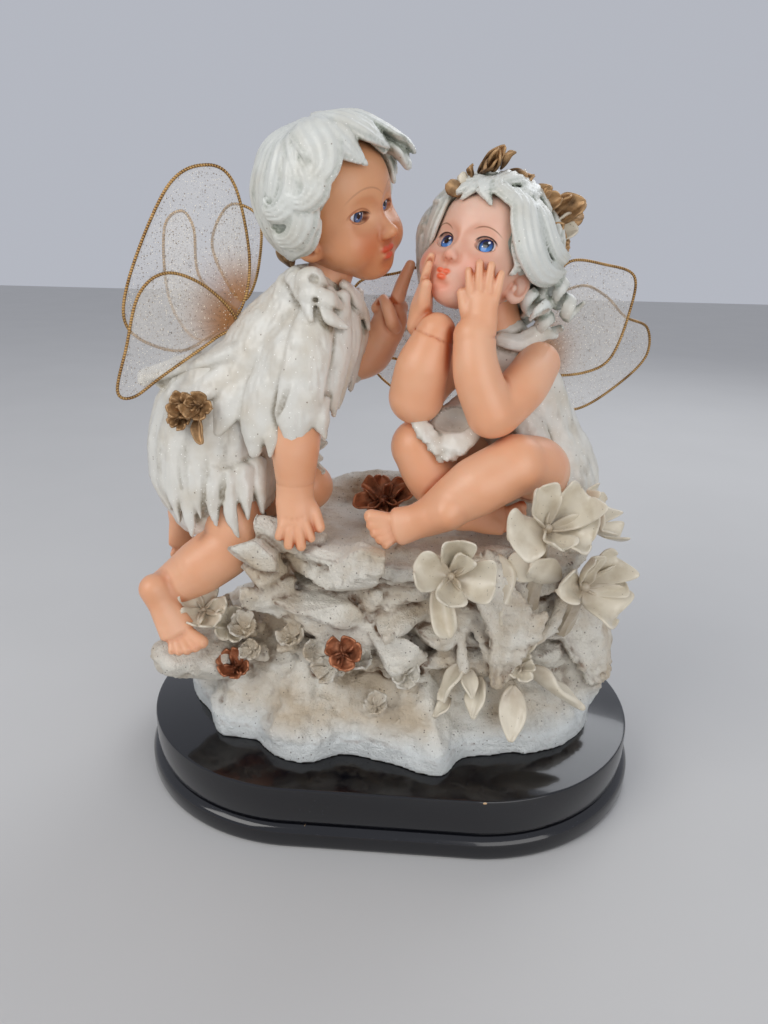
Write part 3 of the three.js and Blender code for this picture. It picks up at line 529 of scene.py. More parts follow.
limbs = {
    "near_hand": {"at": [-41, -36, 146], "yaw": -82, "pitch": -62},
    "pointing_hand": {"at": [-5, 7, 214], "yaw": -15, "pitch": 72, "roll": 75, "size": 0.95},
    "near_foot": {"at": [-103, -37, 92], "yaw": -40, "pitch": -40, "roll": 26, "size": 0.86},
    "far_foot": {"at": [-110, 10, 117], "yaw": -60, "pitch": -72, "size": 0.7},
    "cheek_hand_left": {"at": [34.5, -33, 222], "yaw": 80, "pitch": 84, "size": 0.92},
    "cheek_hand_right": {"at": [11, -17, 225], "yaw": -5, "pitch": 84, "size": 0.9},
    "crossed_foot": {"at": [19, -39.6, 141], "yaw": -172, "pitch": -14, "roll": -62, "size": 0.88},
    "tucked_foot": {"at": [36, -26, 136], "yaw": -8, "pitch": 5, "roll": 60, "size": 0.74},
}


def sculptLeaningArms():
    clay = newClay([-62, -58, 116], [-16, -14, 196], 0.6)
    addRod(clay, [[-39, -32, 190], [-40.5, -34, 170], [-41, -34, 151]], [10.5, 10.4, 7.9], 2, 20)
    addHand(clay, limbs["near_hand"])
    addRing(clay, [-41, -34, 153.5], [0, 0, 1], 8.6)
    near = clayPiece("leaning_near_arm", clay)
    clay = newClay([-38, -12, 186], [16, 32, 250], 0.6)
    pose = limbs["pointing_hand"]
    addRod(clay, [[-25, 15, 198], [-14, 12, 202], [-6.5, 8, 212]], [10.5, 10, 7.8], 2, 20)
    addBall(clay, carry(pose, [[4, 1, -1]])[0], [9.0, 7.8, 7.0], 3, poseTurn(pose))
    addRod(clay, [[-0.7, 4.0, 228.3], [1.4, 3.5, 234.7], [4.4, 3.0, 241.9]], [3.3, 2.9, 2.2], 1)
    for i in range(3):
        y = -0.6 + 4.1 * i
        bent = [[9.5 - i, y, 2.5], [12.4 - i, y, -0.6], [11 - i, y, -5.4], [6 - i, y, -6.6]]
        addRod(clay, carry(pose, bent), [2.9, 2.9, 2.6, 2.2], 0.7, 13)
    addRod(clay, carry(pose, [[3, -5, 3], [6, -4.5, 6.6], [11, 0, 6.9], [13, 4, 5.5]]), [3, 3, 2.8, 2.2], 0.9)
    addRing(clay, [-7.5, 8.5, 210.5], [0.5, -0.3, 0.8], 8.7)
    return near, clayPiece("leaning_far_arm", clay)


def sculptLeaningLegs():
    clay = newClay([-124, -60, 66], [-26, 34, 164], 0.85)
    addRod(clay, [[-76, 6, 154], [-48, 4, 142], [-42, 4, 138], [-66, 8, 128], [-104, 12, 121]],
           [14, 11, 11, 10, 7.5], 2, 28)
    addFoot(clay, limbs["far_foot"])
    near = [[-80, -16, 150], [-72.5, -24, 133], [-72, -27, 121.5], [-86, -31.5, 110], [-103, -33, 98.5]]
    addRod(clay, near, [15, 13.5, 13.4, 12.6, 8.8], 2.5, 28)
    addFoot(clay, limbs["near_foot"])
    addRing(clay, [-100.5, -33, 101.5], [-0.8, 0, -0.6], 9.6)
    addRod(clay, [[-58, -42, 130], [-66, -44, 122], [-74, -43.5, 119]], [0.5, 0.7, 0.4], 1.0, carve=True)
    return clayPiece("leaning_legs", clay)


def sculptSeatedArms():
    clay = newClay([-8, -54, 176], [76, 20, 250], 0.72)
    addRod(clay, [[38, 8, 206], [20, -5, 198], [10, -23, 190]], [9, 10, 10.4], 2, 20)
    addRod(clay, [[9.5, -24, 190], [12, -26, 203], [17, -24, 217]], [11.6, 11.2, 7.9], 1.6, 20)
    addHand(clay, limbs["cheek_hand_right"], 6, -1, 1.16)
    addRing(clay, [16.2, -24.2, 215], [0.35, 0.1, 0.9], 8.6)
    addRod(clay, [[61, -9, 203], [54, -24, 196], [43, -35, 187]], [9.5, 10.2, 10], 1.6, 20)
    addRod(clay, [[40.5, -37, 187], [34, -37, 202], [31.5, -34, 217]], [10.3, 9.6, 7.9], 1.2, 20)
    addHand(clay, limbs["cheek_hand_left"], 6.5, 1, 1.16)
    addRing(clay, [31.8, -34.4, 215.5], [-0.15, 0.2, 0.96], 8.7)
    return clayPiece("seated_arms", clay)


def sculptSeatedLegs():
    clay = newClay([-14, -60, 116], [84, 28, 186], 0.82)
    addRod(clay, [[44, 10, 148], [26, -6, 160], [11, -20, 168]], [14, 13, 11.5], 2, 20)
    addRod(clay, [[11, -21, 167], [20, -24, 153], [42, -28, 140]], [11.5, 12, 7.8], 1.5, 22)
    addFoot(clay, limbs["tucked_foot"])
    addRod(clay, [[66, -2, 152], [62, -22, 160], [52, -36, 166]], [15, 14, 12], 2, 20)
    addRod(clay, [[52, -36, 165], [36, -42, 157], [18, -43, 144]], [12.5, 12.5, 8.2], 1.6, 24)
    addFoot(clay, limbs["crossed_foot"], -1)
    return clayPiece("seated_legs", clay)


def ringSpot(ring, angle):  # a place on a dress at one height, and the way the cloth faces there
    across, over = np.array(ring["across"], float), np.array(ring.get("over", [0, 1, 0]), float)
    a, b = ring["size"]
    place = np.array(ring["at"], float) + across * (a * math.cos(angle)) + over * (b * math.sin(angle))
    return place, unit(across * (math.cos(angle) / a) + over * (math.sin(angle) / b))


# Leaf-shaped panels laid side by side down a dress; each ends in a tip past the last ring.
def addPanels(clay, rings, angles, wide, thick, tips, seed, depth, flare):
    dice = np.random.default_rng(seed)
    tuck = 0.8
    for k, angle in enumerate(angles):
        sway = dice.uniform(-1, 1, len(rings)) * 2.2
        spots = [ringSpot(ring, math.radians(angle + s)) for ring, s in zip(rings, sway)]
        stops = [place - face * tuck for place, face in spots]
        outs = [face for _, face in spots]
        down, last, out = unit(stops[-1] - stops[-2]), stops[-1], outs[-1]
        tip = tips[k % len(tips)]
        stops += [last + down * tip * 0.55 + out * flare, last + down * tip + out * flare * 1.6]
        outs += [out, out]
        middle = [wide * dice.uniform(0.85, 1.12) for _ in rings[1:]]
        addRibbon(clay, stops, [wide * 0.55] + middle + [wide * 0.62, wide * 0.14],
                  [thick * 0.8] + [thick] * (len(rings) - 1) + [thick * 0.7, thick * 0.35], np.array(outs),
                  0.7, 4 * len(stops), 2, depth)


def addBody(clay, rings, wide, out, blend, steps):  # the body in a dress; wide: which half size is its width
    for pair in zip(rings[:-1], rings[1:]):
        addRibbon(clay, [ring["at"] for ring in pair], [ring["size"][wide] for ring in pair],
                  [ring["size"][1 - wide] for ring in pair], out, blend, steps)


def tilted(at, size, tilt):
    lean = math.radians(tilt)
    return {"at": at, "size": size, "across": [math.cos(lean), 0, math.sin(lean)]}


capeRings = [tilted([-33, -8, 233], [9, 10], -40), tilted([-38, -8, 224], [17, 19], -40),
             tilted([-52, -7, 204], [23, 24], -40), tilted([-67, -7, 187], [23, 24], -20)]
skirtRings = [tilted([-70, -7, 196], [14, 18], -25), tilted([-78, -7, 183], [25, 25], -14),
              tilted([-83, -7, 166], [28, 28.5], -4), tilted([-83, -8, 150], [28, 29], 0),
              tilted([-81.5, -8, 141], [25.5, 27.5], 4)]
leaves = {  # stops, half widths, half thicknesses, face
    "cape": [
        ([[-40, -16, 238], [-46, -27, 216], [-50, -34, 198], [-56, -37, 180], [-58, -37, 166]],
         [6, 8.5, 10, 9.5, 3], [4, 4.4, 4, 3.4, 1.6], [-0.35, -0.9, 0.12]),
        ([[-30, -24, 232], [-33, -36, 214], [-35.5, -40, 198], [-38.5, -42, 184], [-40, -42, 172]],
         [6, 9, 9.6, 9, 3], [3.4, 4, 3.6, 3.2, 1.6], [0.18, -0.96, 0.14]),
        ([[-46, -38, 182], [-49, -40.5, 174], [-50, -41, 167]], [5, 4, 1.2], [2.4, 2.2, 1.2],
         [-0.1, -1, 0.1]),
        ([[-30, -38, 190], [-29, -39, 181], [-27.5, -38, 174.5]], [5.5, 4, 1.2], [2.4, 2, 1.1],
         [0.4, -0.9, 0.1]),
        ([[-22, -22, 230], [-22.5, -28, 210], [-25, -30, 195], [-25, -28, 182]], [4, 7, 6, 1.6],
         [2.4, 3, 2.6, 1.2], [0.7, -0.7, 0.1]),
        ([[-20, -8, 231], [-18.5, -14, 213], [-22, -16, 196], [-25, -15, 183]], [4, 7, 5, 1.4],
         [2.4, 2.8, 2.4, 1.2], [0.92, -0.4, 0.05]),
        ([[-18, 2, 230], [-16, 2, 212], [-19, 0, 200], [-21, -2, 188]], [4, 7, 5, 1.4], [2.2, 2.4, 2, 1.1],
         [1, 0, 0.1]),
        ([[-62, -24, 206], [-68, -28, 194], [-72, -32, 182], [-74, -34, 174]], [9, 11, 9, 3],
         [3.4, 3.4, 3, 1.6], [-0.3, -0.9, 0.35]),
        ([[-70, -24, 200], [-80, -28, 192], [-88, -30, 186]], [8, 8, 3], [3.4, 3.2, 1.8],
         [-0.35, -0.7, 0.6]),
        ([[-56, 2, 226], [-64, 4, 212], [-76, 6, 200], [-90, 6, 192]], [10, 12, 12, 5], [3, 3.4, 3, 1.8],
         [-0.6, 0.1, 0.8]),
        ([[-50, 16, 222], [-60, 20, 204], [-68, 22, 188], [-72, 22, 178]], [9, 11, 10, 3],
         [3, 3.2, 2.8, 1.5], [-0.5, 0.8, 0.3]),
        ([[-36, 16, 222], [-40, 24, 204], [-48, 26, 188], [-50, 26, 176]], [8, 10, 9, 3],
         [3, 3.2, 2.8, 1.5], [0.1, 1, 0.1]),
    ],
    "collar": [
        ([[-46, -13, 238], [-42, -22, 238], [-37, -29, 233], [-32.7, -37, 222]], [3, 4.4, 5, 1.2],
         [2, 2, 1.8, 1], [-0.4, -0.7, 0.6]),
        ([[-37, -31, 232], [-31, -33, 231], [-25.5, -32, 229.5], [-21.5, -26, 226]], [3, 4, 3.6, 1.2],
         [2, 2, 1.8, 1], [0.1, -0.9, 0.4]),
        ([[-29, -33, 227], [-25, -35, 222.5], [-19, -33, 218.8]], [2.2, 3, 1.2], [1.6, 1.7, 1],
         [0.5, -0.8, 0.4]),
        ([[-22, -18, 234], [-17, -12, 228], [-14, -5, 221], [-13, -3, 215]], [3, 4, 3.6, 1.4],
         [1.8, 2, 1.8, 1], [0.9, -0.3, 0.3]),
        ([[-44, -4, 238], [-48, -14, 236], [-50, -22, 229]], [3, 4, 1.2], [2, 2, 1], [-0.7, -0.3, 0.6]),
    ],
    "tail": [
        ([[-68, -8, 206], [-82, -8, 200.5], [-96, -9, 196.5], [-108, -10, 193]], [20, 18, 14, 10],
         [7, 6, 4.8, 3.4], [-0.25, 0, 0.97]),
        ([[-84, -24, 193], [-94, -20, 190], [-103, -15, 191]], [6, 6, 3], [3, 2.4, 1.6],
         [-0.2, -0.6, 0.75]),
        ([[-84, 8, 194], [-95, 4, 191], [-104, -3, 191]], [6, 6, 3], [3, 2.4, 1.6], [-0.2, 0.6, 0.75]),
    ],
    "skirt": [
        ([[-72, 20, 162], [-73, 22, 148], [-73, 23, 136]], [6, 5, 1.2], [2.2, 2, 1], [0.4, 0.9, 0.1]),
        ([[-90, 18, 160], [-92, 19, 146], [-93, 19, 134]], [6, 5, 1.2], [2.2, 2, 1], [-0.3, 0.95, 0.1]),
        ([[-110, 2, 164], [-110.5, 1, 150], [-108, 0, 138]], [6, 5, 1.4], [2, 2, 1], [-1, 0.1, 0.1]),
        ([[-110, -12, 160], [-109, -14, 146], [-106, -16, 135.5]], [6, 5, 1.4], [2.2, 2, 1],
         [-0.95, -0.3, 0.1]),
        ([[-104, -24, 156], [-102, -28, 146], [-98, -30.5, 137.4]], [6, 4.4, 1.2], [2.4, 2, 1],
         [-0.7, -0.7, 0.1]),
        ([[-97, -31, 156], [-95, -34, 144], [-93, -34.5, 133]], [5, 3.6, 1.1], [2.4, 2, 1],
         [-0.45, -0.9, 0.1]),
        ([[-90, -34, 158], [-88, -37, 144], [-87, -38, 134], [-86.6, -38, 128.2]], [5.4, 4, 2.8, 1.1],
         [2.6, 2.2, 1.7, 1], [-0.2, -1, 0.1]),
        ([[-84, -36, 158], [-83.4, -38, 146], [-82.4, -38, 136.8]], [4.6, 3.4, 1.0], [2.4, 2, 1],
         [0, -1, 0.1]),
        ([[-77, -36, 158], [-76.4, -38.5, 145], [-75.4, -38.5, 134]], [5, 4, 1.0], [2.4, 2, 1],
         [0.1, -1, 0.1]),
        ([[-70, -35, 156], [-69, -38, 142], [-67.6, -38.5, 134], [-66, -38, 128.5]], [5, 3.6, 2.6, 1.1],
         [2.4, 2, 1.7, 1], [0.25, -1, 0.1]),
        ([[-64, -32, 158], [-63, -35, 146], [-62, -36, 136.5]], [5, 3.6, 1.0], [2.4, 2, 1],
         [0.4, -0.9, 0.1]),
        ([[-59, -27, 160], [-57.5, -30, 148], [-56.5, -31, 137.5]], [5, 3.6, 1.0], [2.4, 2, 1],
         [0.7, -0.7, 0.1]),
    ],
}


def clothSkin(local, out, looks):  # crumpled, with fine brushed lines that run down the cloth
    streak = noiseAt(local * [1, 1, 0.22], 1.5, 5)
    rough = 0.42 * noiseAt(local, 6.5, 2) + 0.2 * noiseAt(local, 2.7, 8) + 0.26 * streak
    looks["crevice"] = np.clip(looks["crevice"] - 0.45 * rough, 0, 1)
    return local + out * rough[:, None]


def addLeaves(clay, name, blend=0.9, grooves=1, depth=0.3):
    for stops, widths, thicks, out in leaves[name]:
        addRibbon(clay, stops, widths, thicks, out, blend, 6 * len(stops), grooves, depth)


def sculptCape():
    clay = newClay([-118, -52, 156], [-6, 34, 248], 0.86)
    addBody(clay, capeRings, 1, [-0.77, 0, 0.64], 3, 7)
    addRibbon(clay, [[-34, -20, 226], [-38, -31, 208], [-43, -34, 186]], [9, 13, 15], [7.5, 9, 7],
              [0, -1, 0], 3)
    addRibbon(clay, [[-28, 5, 226], [-21, 10, 212], [-24, 13, 194]], [8, 10, 9], [7, 8, 6], [0.7, 0.7, 0], 3)
    addLeaves(clay, "tail", 2.5, 2, 0.35)
    addBall(clay, [-44, -32, 170], [13, 8, 10], 2, carve=True)
    addLeaves(clay, "cape", 1.0)
    addLeaves(clay, "collar", 0.7, 0, 0)
    addBall(clay, [-34, -28, 235.5], [6.6, 5.4, 6.4], 0.8)
    addBall(clay, [-31.9, -33.4, 237.2], [2.3, 2.4, 2.1], 0.5, carve=True)
    addBall(clay, [-31, -34.5, 229.4], [1.2, 2.0, 1.1], 0.4, carve=True)
    addRod(clay, [[-110.5, -16, 192], [-112, -10, 192.5], [-110.5, -3, 192]], [3.0, 3.4, 3.0], 1.5)
    for stops in ([[-34.5, -43, 219], [-36.5, -45, 209], [-41, -45, 196], [-47, -44, 182]],
                  [[-50, -33, 222], [-56, -37, 204], [-61, -39, 190]]):
        addRod(clay, stops, [0.5, 1.3, 1.3, 0.5][:len(stops)], 0.8, 24, carve=True)
    return clayPiece("leaning_cape", clay, None, clothSkin)


def sculptSkirt():
    clay = newClay([-120, -46, 122], [-44, 30, 204], 0.88)
    addBody(clay, skirtRings, 1, [-1, 0, 0.1], 2, 5)
    addBall(clay, [-81, -8, 132], [23, 23, 9], 2, carve=True)
    addPanels(clay, skirtRings, np.arange(7, 360, 30), 8.5, 2.6, (3, 6, 2, 5, -1, 4), 3, 0.3, 0.4)
    addLeaves(clay, "skirt", 0.8)
    for stops in ([[-93, -34, 182], [-92, -37, 166], [-90, -38, 150]],
                  [[-80, -37, 176], [-80, -39, 160], [-79.5, -39.5, 146]],
                  [[-70, -35, 172], [-71, -38, 158], [-72, -38.5, 146]],
                  [[-104, -22, 176], [-106, -24, 160], [-102, -28, 146]]):
        addRod(clay, stops, [0.5, 1.2, 0.6], 1.0, 20, carve=True)
    return clayPiece("leaning_skirt", clay, None, clothSkin)


gownRings = [{"at": at, "size": size, "across": [0.87, -0.5, 0], "over": [0.5, 0.87, 0]} for at, size in (
    ([46, 3, 212], [12, 11]), ([50, 4, 196], [20, 16]), ([60, 7, 172], [22, 18.5]),
    ([67, 7, 154], [25.5, 23]), ([69, 8, 142], [25, 23.5]))]


def sculptGown():
    clay = newClay([4, -46, 126], [104, 40, 222], 0.95)
    addBody(clay, gownRings, 0, [-0.5, -0.87, 0], 3, 6)
    addBall(clay, [60, -24, 152], [17, 12, 17], 2, carve=True)
    addPanels(clay, gownRings, range(-20, 200, 27), 9, 2.8, (2, 4, 1), 11, 0.35, 0.3)
    addRibbon(clay, [[52, -12, 190], [60, -17, 174], [66, -20, 160], [67, -19, 146]], [6, 7, 7, 6],
              [3, 3, 3.2, 3], [0.35, -0.9, 0.1], 1.0, 20, 2, 0.35)
    addRibbon(clay, [[42, -10, 190], [28, -25, 179], [22, -33, 171]], [10, 12, 10.5], [6, 4, 2],
              [-0.2, -0.6, 0.7], 2)
    addBall(clay, [25, -27, 181.5], [8.5, 8, 5.5], 1.5, carve=True)
    frill = [[9.5, -26, 182], [11, -31.5, 178], [15, -33, 174.5], [18, -34.5, 171], [21, -35, 168],
             [25, -35.3, 167.6], [29, -34.5, 170], [32, -33.5, 172], [36, -31, 177]]
    addRod(clay, frill, [1.2, 1.5, 1.1, 1.7, 1.3, 1.7, 1.2, 1.5, 1.2], 1.0, 30)
    for number, spot in enumerate(smoothPath(frill, 13)):
        edge = spot + [0.4 - 0.1 * number, -0.6 - 1.4 * (number % 2), -2.6 + 1.6 * (number % 2)]
        addRibbon(clay, [spot + [0.3, 3, 4.6], spot + [0, 0.4, 0.6], edge], [2.4, 2.8, 1.6], [1.3, 1.2, 0.7],
                  [0, -1, 0.3], 0.7, 9)
    addRibbon(clay, [[44, -10, 213], [53, -10, 212], [62, -6, 216], [69, 0, 214]], [3, 4, 4, 1.5],
              [2, 2, 2, 1.2], [0.3, -0.9, 0.4], 1, 16, 2, 0.3)
    return clayPiece("seated_gown", clay, None, clothSkin)


neckStops = {"leaning": [[-37, -7, 222], [-30, -7.5, 236], [-26, -8, 250]],
             "seated": [[46, 5, 208], [42, 2, 224], [38, 0, 240]]}


def sculptNeck(name):
    stops = np.array(neckStops[name])
    clay = newClay(stops.min(0) - 14, stops.max(0) + 14, 0.9)
    addRod(clay, stops, [11.5, 9.8, 9.5])
    return clayPiece(name + "_neck", clay)


moundEdge = [[104, 8], [106, 30], [96, 48], [66, 60], [24, 64], [-24, 62], [-68, 56], [-96, 38], [-107, 12],
             [-99, -13], [-88, -28], [-77, -45], [-60, -48], [-49, -58], [-33, -62], [-16, -55], [8, -60],
             [26, -66], [37, -52], [55, -47], [71, -44], [86, -36], [98, -18]]
moundProfile = [[-60, 84], [-34, 82], [-27, 76.5], [-19, 64.5], [-10, 51.5], [-2.2, 41], [-0.4, 38], [0, 36]]
slabs = [  # height, thickness, left, right, front, back, lean to the right and to the back in degrees
    [64, 14, -36, 92, -31, 44, 3, 0], [73, 9, -39, 90, -34, 43, -4, 2], [80, 8, -33, 91, -32, 44, 4, 1],
    [87, 8, -37, 89, -36, 41, -2, -2], [93.5, 7.5, -45, 86, -36, 43, 3.5, 2],
    [99.5, 7, -41, 62, -42, 36, -6, 2], [105.5, 7.5, -55, 85, -43, 44, 3, 1],
    [110.5, 6.5, -52, 70, -46, 40, -3.5, -2], [115.5, 7, -62, 88, -44, 43, 2, -1.5],
    [120, 6, -58, 90, -47, 43, -1.5, 1], [123.5, 5.5, -62, 64, -45, 41, 1.2, 0],
]


def edgeDistance(x, y, outline):  # millimetres outside a closed outline, negative inside
    path = smoothPath(outline + outline[:1], 12 * len(outline))
    best, inside = np.full(x.shape, 1e9), np.zeros(x.shape, bool)
    for (ax, ay), (bx, by) in zip(path[:-1], path[1:]):
        dx, dy = bx - ax, by - ay
        f = np.clip(((x - ax) * dx + (y - ay) * dy) / (dx * dx + dy * dy + 1e-9), 0, 1)
        best = np.minimum(best, (x - ax - f * dx) ** 2 + (y - ay - f * dy) ** 2)
        crosses = ((ay > y) != (by > y)) & (x < (bx - ax) * (y - ay) / (by - ay + 1e-12) + ax)
        inside ^= crosses
    return np.where(inside, -np.sqrt(best), np.sqrt(best))


def addSlab(clay, slab, seed):  # a block split off along flat faces, no two of them square to each other
    z, thick, left, right, front, back, leanX, leanY = slab
    margin, faceCount, squareness = [8, 8, thick + 6.0], 17, 1.42
    low, high = np.array([left, front, z]) - margin, np.array([right, back, z]) + margin
    part, (x, y, zs) = windowOf(clay, low, high)
    cx, cy, a, b = (left + right) / 2, (front + back) / 2, (right - left) / 2, (back - front) / 2
    dice = np.random.default_rng(seed)
    side = np.full((x + y + zs).shape, -99.0)
    for k in range(faceCount):
        angle = 2 * math.pi * (k + dice.uniform(-0.35, 0.35)) / faceCount
        ux, uy = math.cos(angle), math.sin(angle)
        corner = (abs(a * ux) ** squareness + abs(b * uy) ** squareness) ** (1 / squareness)
        reach = corner * dice.uniform(0.93, 1.0)
        side = np.maximum(side, (x - cx) * ux + (y - cy) * uy + (zs - z) * dice.uniform(-0.7, 0.7) - reach)
    dents = np.abs(noiseGrid([x, y, zs * 1.6], 13, seed)) * 3.4
    chips = dents + noiseGrid([x, y, zs], 5, seed + 50) * 0.8 - 1.2
    flat = np.abs(noiseGrid([x, y, zs], 19, seed + 99)) * 2.2 - 0.8
    slopeX, slopeY = math.tan(math.radians(leanX)), math.tan(math.radians(leanY))
    middle = z + (x - cx) * slopeX + (y - cy) * slopeY - flat
    level = np.abs(zs - middle) - thick / 2
    press(clay, part, np.maximum(side + chips, level).astype(np.float32), 0.7)


def addSplinter(clay, at, reach, turn, dice):  # a chunk cut by 13 flat faces
    at, reach = np.array(at, float), np.array(reach, float)
    part, axes = windowOf(clay, at - reach.max() - 4, at + reach.max() + 4)
    offset = [axes[i] - np.float32(at[i]) for i in range(3)]
    chunk = np.float32(-99)
    for way in unit(dice.normal(size=(13, 3))):
        face = turn @ way
        size = np.linalg.norm(way * reach) * dice.uniform(0.72, 1.0)
        chunk = np.maximum(chunk, sum(np.float32(face[i]) * offset[i] for i in range(3)) - np.float32(size))
    press(clay, part, chunk, 0.9)


def rockSkin(local, out, looks):  # ridges low down, drawn-out lines, grit and pits all over, calm at the foot
    ridge = 1 - 2 * np.abs(noiseAt(local * [1, 1, 1.5], 6.5, 3))
    low = np.clip((92 - local[:, 2]) / 14, 0.3, 1)
    lumps = 1.2 * ridge * low + 0.5 * np.abs(noiseAt(local, 4.2, 23)) * low
    rough = lumps + 0.62 * noiseAt(local * [0.24, 0.5, 1.7], 2.6, 9) + 0.2 * noiseAt(local, 1.5, 17)
    pits = np.clip(noiseAt(local, 2.3, 31) - 0.48, 0, 1) * 2.4
    calm = np.clip((local[:, 2] - 36) / 5, 0, 1)
    # pits count as deeper crevices and bumps as shallower ones, so the painted shade falls in the pits
    looks["crevice"] = np.clip(looks["crevice"] + 0.28 * (pits - rough) * calm, 0, 1)
    return local + out * ((rough - pits) * (0.22 + 0.78 * calm))[:, None]

splinters = [  # where, half sizes, yaw, pitch, roll
    ([-56, -36, 121], [11, 12, 3.4], 20, 6, 8), ([-54, -38, 114], [13, 10, 3.2], 8, -8, -14),
    ([-50, -38, 106.5], [12, 9, 3.0], -12, 6, 16), ([-46, -38, 100], [12, 8, 3.2], 5, -12, -8),
    ([-24, -43, 97.5], [20, 7, 3.4], -8, -13, 34), ([-10, -43, 90], [15, 7, 3], -16, -9, 26),
    ([-34, -40, 93], [11, 8, 3.4], 14, -6, 12), ([-20, -42, 112], [15, 8, 3.2], 4, 7, 20),
    ([6, -42, 108], [17, 7, 3.4], -6, -6, 16), ([8, -40, 98], [16, 7, 3.6], 6, 5, 28),
    ([22, -42, 88], [14, 7, 3.2], -10, -10, 30), ([-4, -39, 112], [18, 8, 3.2], 2, -4, 12),
    ([-38, -34, 126], [15, 10, 2.2], 25, 3, -5), ([-92, -34, 71], [10, 9, 2.8], -40, 4, 6),
    ([-84, -26, 76], [10, 8, 4], -20, 12, 10),
]
rootStops = [  # the stems that climb the front of the rock
    ([[33, -44, 92], [34, -47, 84], [35, -48, 74]], [1.8, 1.7, 2.2]),
    ([[36, -40, 96], [43, -46, 88], [49, -48, 74]], [2.0, 2.2, 2.4]),
    ([[27, -42, 106], [26, -45, 96], [31, -46, 90]], [2.2, 1.8, 1.8]),
    ([[62, -36, 104], [58, -43, 90], [52, -47, 74]], [3.0, 3.0, 3.2]),
    ([[80, -28, 106], [74, -36, 92], [60, -43, 82]], [3.2, 2.6, 2.2]),
]
chunks = {"count": 60, "from": 150, "to": 385, "lowest": 68, "highest": 112}  # smaller ones round the front
rockClay = {"low": [-112, -72, 29.7], "high": [112, 70, 142], "moundTop": 90.0, "cell": 1.38}


def sculptRock():
    clay = newClay(rockClay["low"], rockClay["high"], rockClay["cell"])
    moundHigh = np.array([*rockClay["high"][:2], rockClay["moundTop"]])
    part, (x, y, z) = windowOf(clay, np.array(rockClay["low"]), moundHigh)
    edge = edgeDistance(x[:, :, 0] + 0 * y[:, :, 0], y[:, :, 0] + 0 * x[:, :, 0], moundEdge)[:, :, None]
    profile = np.array(moundProfile)
    plan = [x, y, z[:, :, :1]]
    top = np.interp(edge, profile[:, 0], profile[:, 1]) + noiseGrid(plan, 14, 4) * 2.8 \
        + (0.5 - np.abs(noiseGrid(plan, 9, 5))) * 3.6 + noiseGrid(plan, 4.6, 7) * 0.9
    wall = edge + noiseGrid([x, y, z], 9, 6) * 0.8
    clay["field"][part] = np.clip(np.maximum(wall, (z - top) * 0.68), -farAway, farAway)
    for number, slab in enumerate(slabs):
        addSlab(clay, slab, 20 + number)
    dice = np.random.default_rng(31)
    for _ in range(chunks["count"]):
        angle = math.radians(dice.uniform(chunks["from"], chunks["to"]))
        level = dice.uniform(chunks["lowest"], chunks["highest"])
        shelf = 0.9 + 0.1 * (level > 104)
        at = [15 + (56 + 11 * (level > 100)) * math.cos(angle) * shelf, 38 * math.sin(angle), level]
        reach = [dice.uniform(10, 17), dice.uniform(6, 9), dice.uniform(2.2, 3.6)]
        yaw = math.degrees(angle) + 90 + dice.uniform(-18, 18)
        addSplinter(clay, at, reach, turnOf(yaw, dice.uniform(-11, 11), dice.uniform(-16, 16)), dice)
    addRibbon(clay, [[-66, -10, 58], [-86, -28, 63], [-101, -41, 67]], [15, 15, 11], [12, 11, 6.5],
              [0, 0, 1], 4, 14)
    addRod(clay, [[-44, 32, 117], [-20, 34, 126], [8, 33, 127], [34, 32, 121]], [11, 11.5, 11.5, 10], 5)
    addBall(clay, [66, 6, 118], [29, 31, 12], 5)
    addBall(clay, [-70, 4, 62], [25, 29, 17], 6)
    addRod(clay, [[80, -4, 92], [92, -8, 72], [94, -4, 46]], [13, 12.5, 11.5], 5)
    for at, reach, yaw, pitch, roll in splinters:
        addSplinter(clay, at, reach, turnOf(yaw, pitch, roll), dice)
    addRibbon(clay, [[84, -6, 90], [97, -12, 72], [103, -14, 54]], [16, 17, 9], [4, 3.4, 3],
              [0.7, -0.6, 0.35], 2, 14, 4, 0.8)
    addRibbon(clay, [[46, -36, 122], [50, -41, 100], [53, -44, 78]], [10, 11, 4.5], [6, 6, 5],
              [0.1, -1, 0.1], 3)
    folded = [[50.5, -48, 70], [53, -50, 84], [54, -50, 98], [46, -46, 112], [43, -42, 127]]
    addRibbon(clay, folded, [2.6, 7, 10.5, 8, 3], [3.4, 3, 2.4, 2.2, 1.6], [0.05, -1, 0.1], 0.8, 24, 2, 1.0)
    addRibbon(clay, [[56, -47, 90], [62, -50, 97], [68, -49, 103]], [9, 8, 2], [2.4, 2, 1.4], [0.1, -1, 0.3],
              0.8, 14, 1, 0.6)
    for stops, radii in rootStops:
        addRod(clay, stops, radii, 1.2, 20)
    dice = np.random.default_rng(12)
    for at, _, _, size, colour in smallFlowers:
        for _ in range(7 if colour == "stone" else 0):
            shift = dice.uniform(-1, 1, 3) * [size * 1.3, size * 0.5, size * 0.5]
            where = np.array(at) + shift + [0, 4.5, -4]
            addBall(clay, where, dice.uniform(1.7, 3.6, 3), 0.8, turnOf(dice.uniform(0, 180)))
    return clayPiece("rock", clay, None, rockSkin)


plinthShape = {  # each step: how far out of the half depth it is, and its height
    "halfStraight": 40, "halfDepth": 80, "bottom": 1.5,
    "steps": [[2.2, 0.7], [2.7, 2.2], [2.7, 7.0], [2.3, 8.6], [0.9, 10.1], [-1.3, 10.9], [-1.3, 11.3],
              [-0.2, 12.1], [0, 12.8], [0, 28.1], [-0.35, 28.9], [-1.2, 29.3]]}


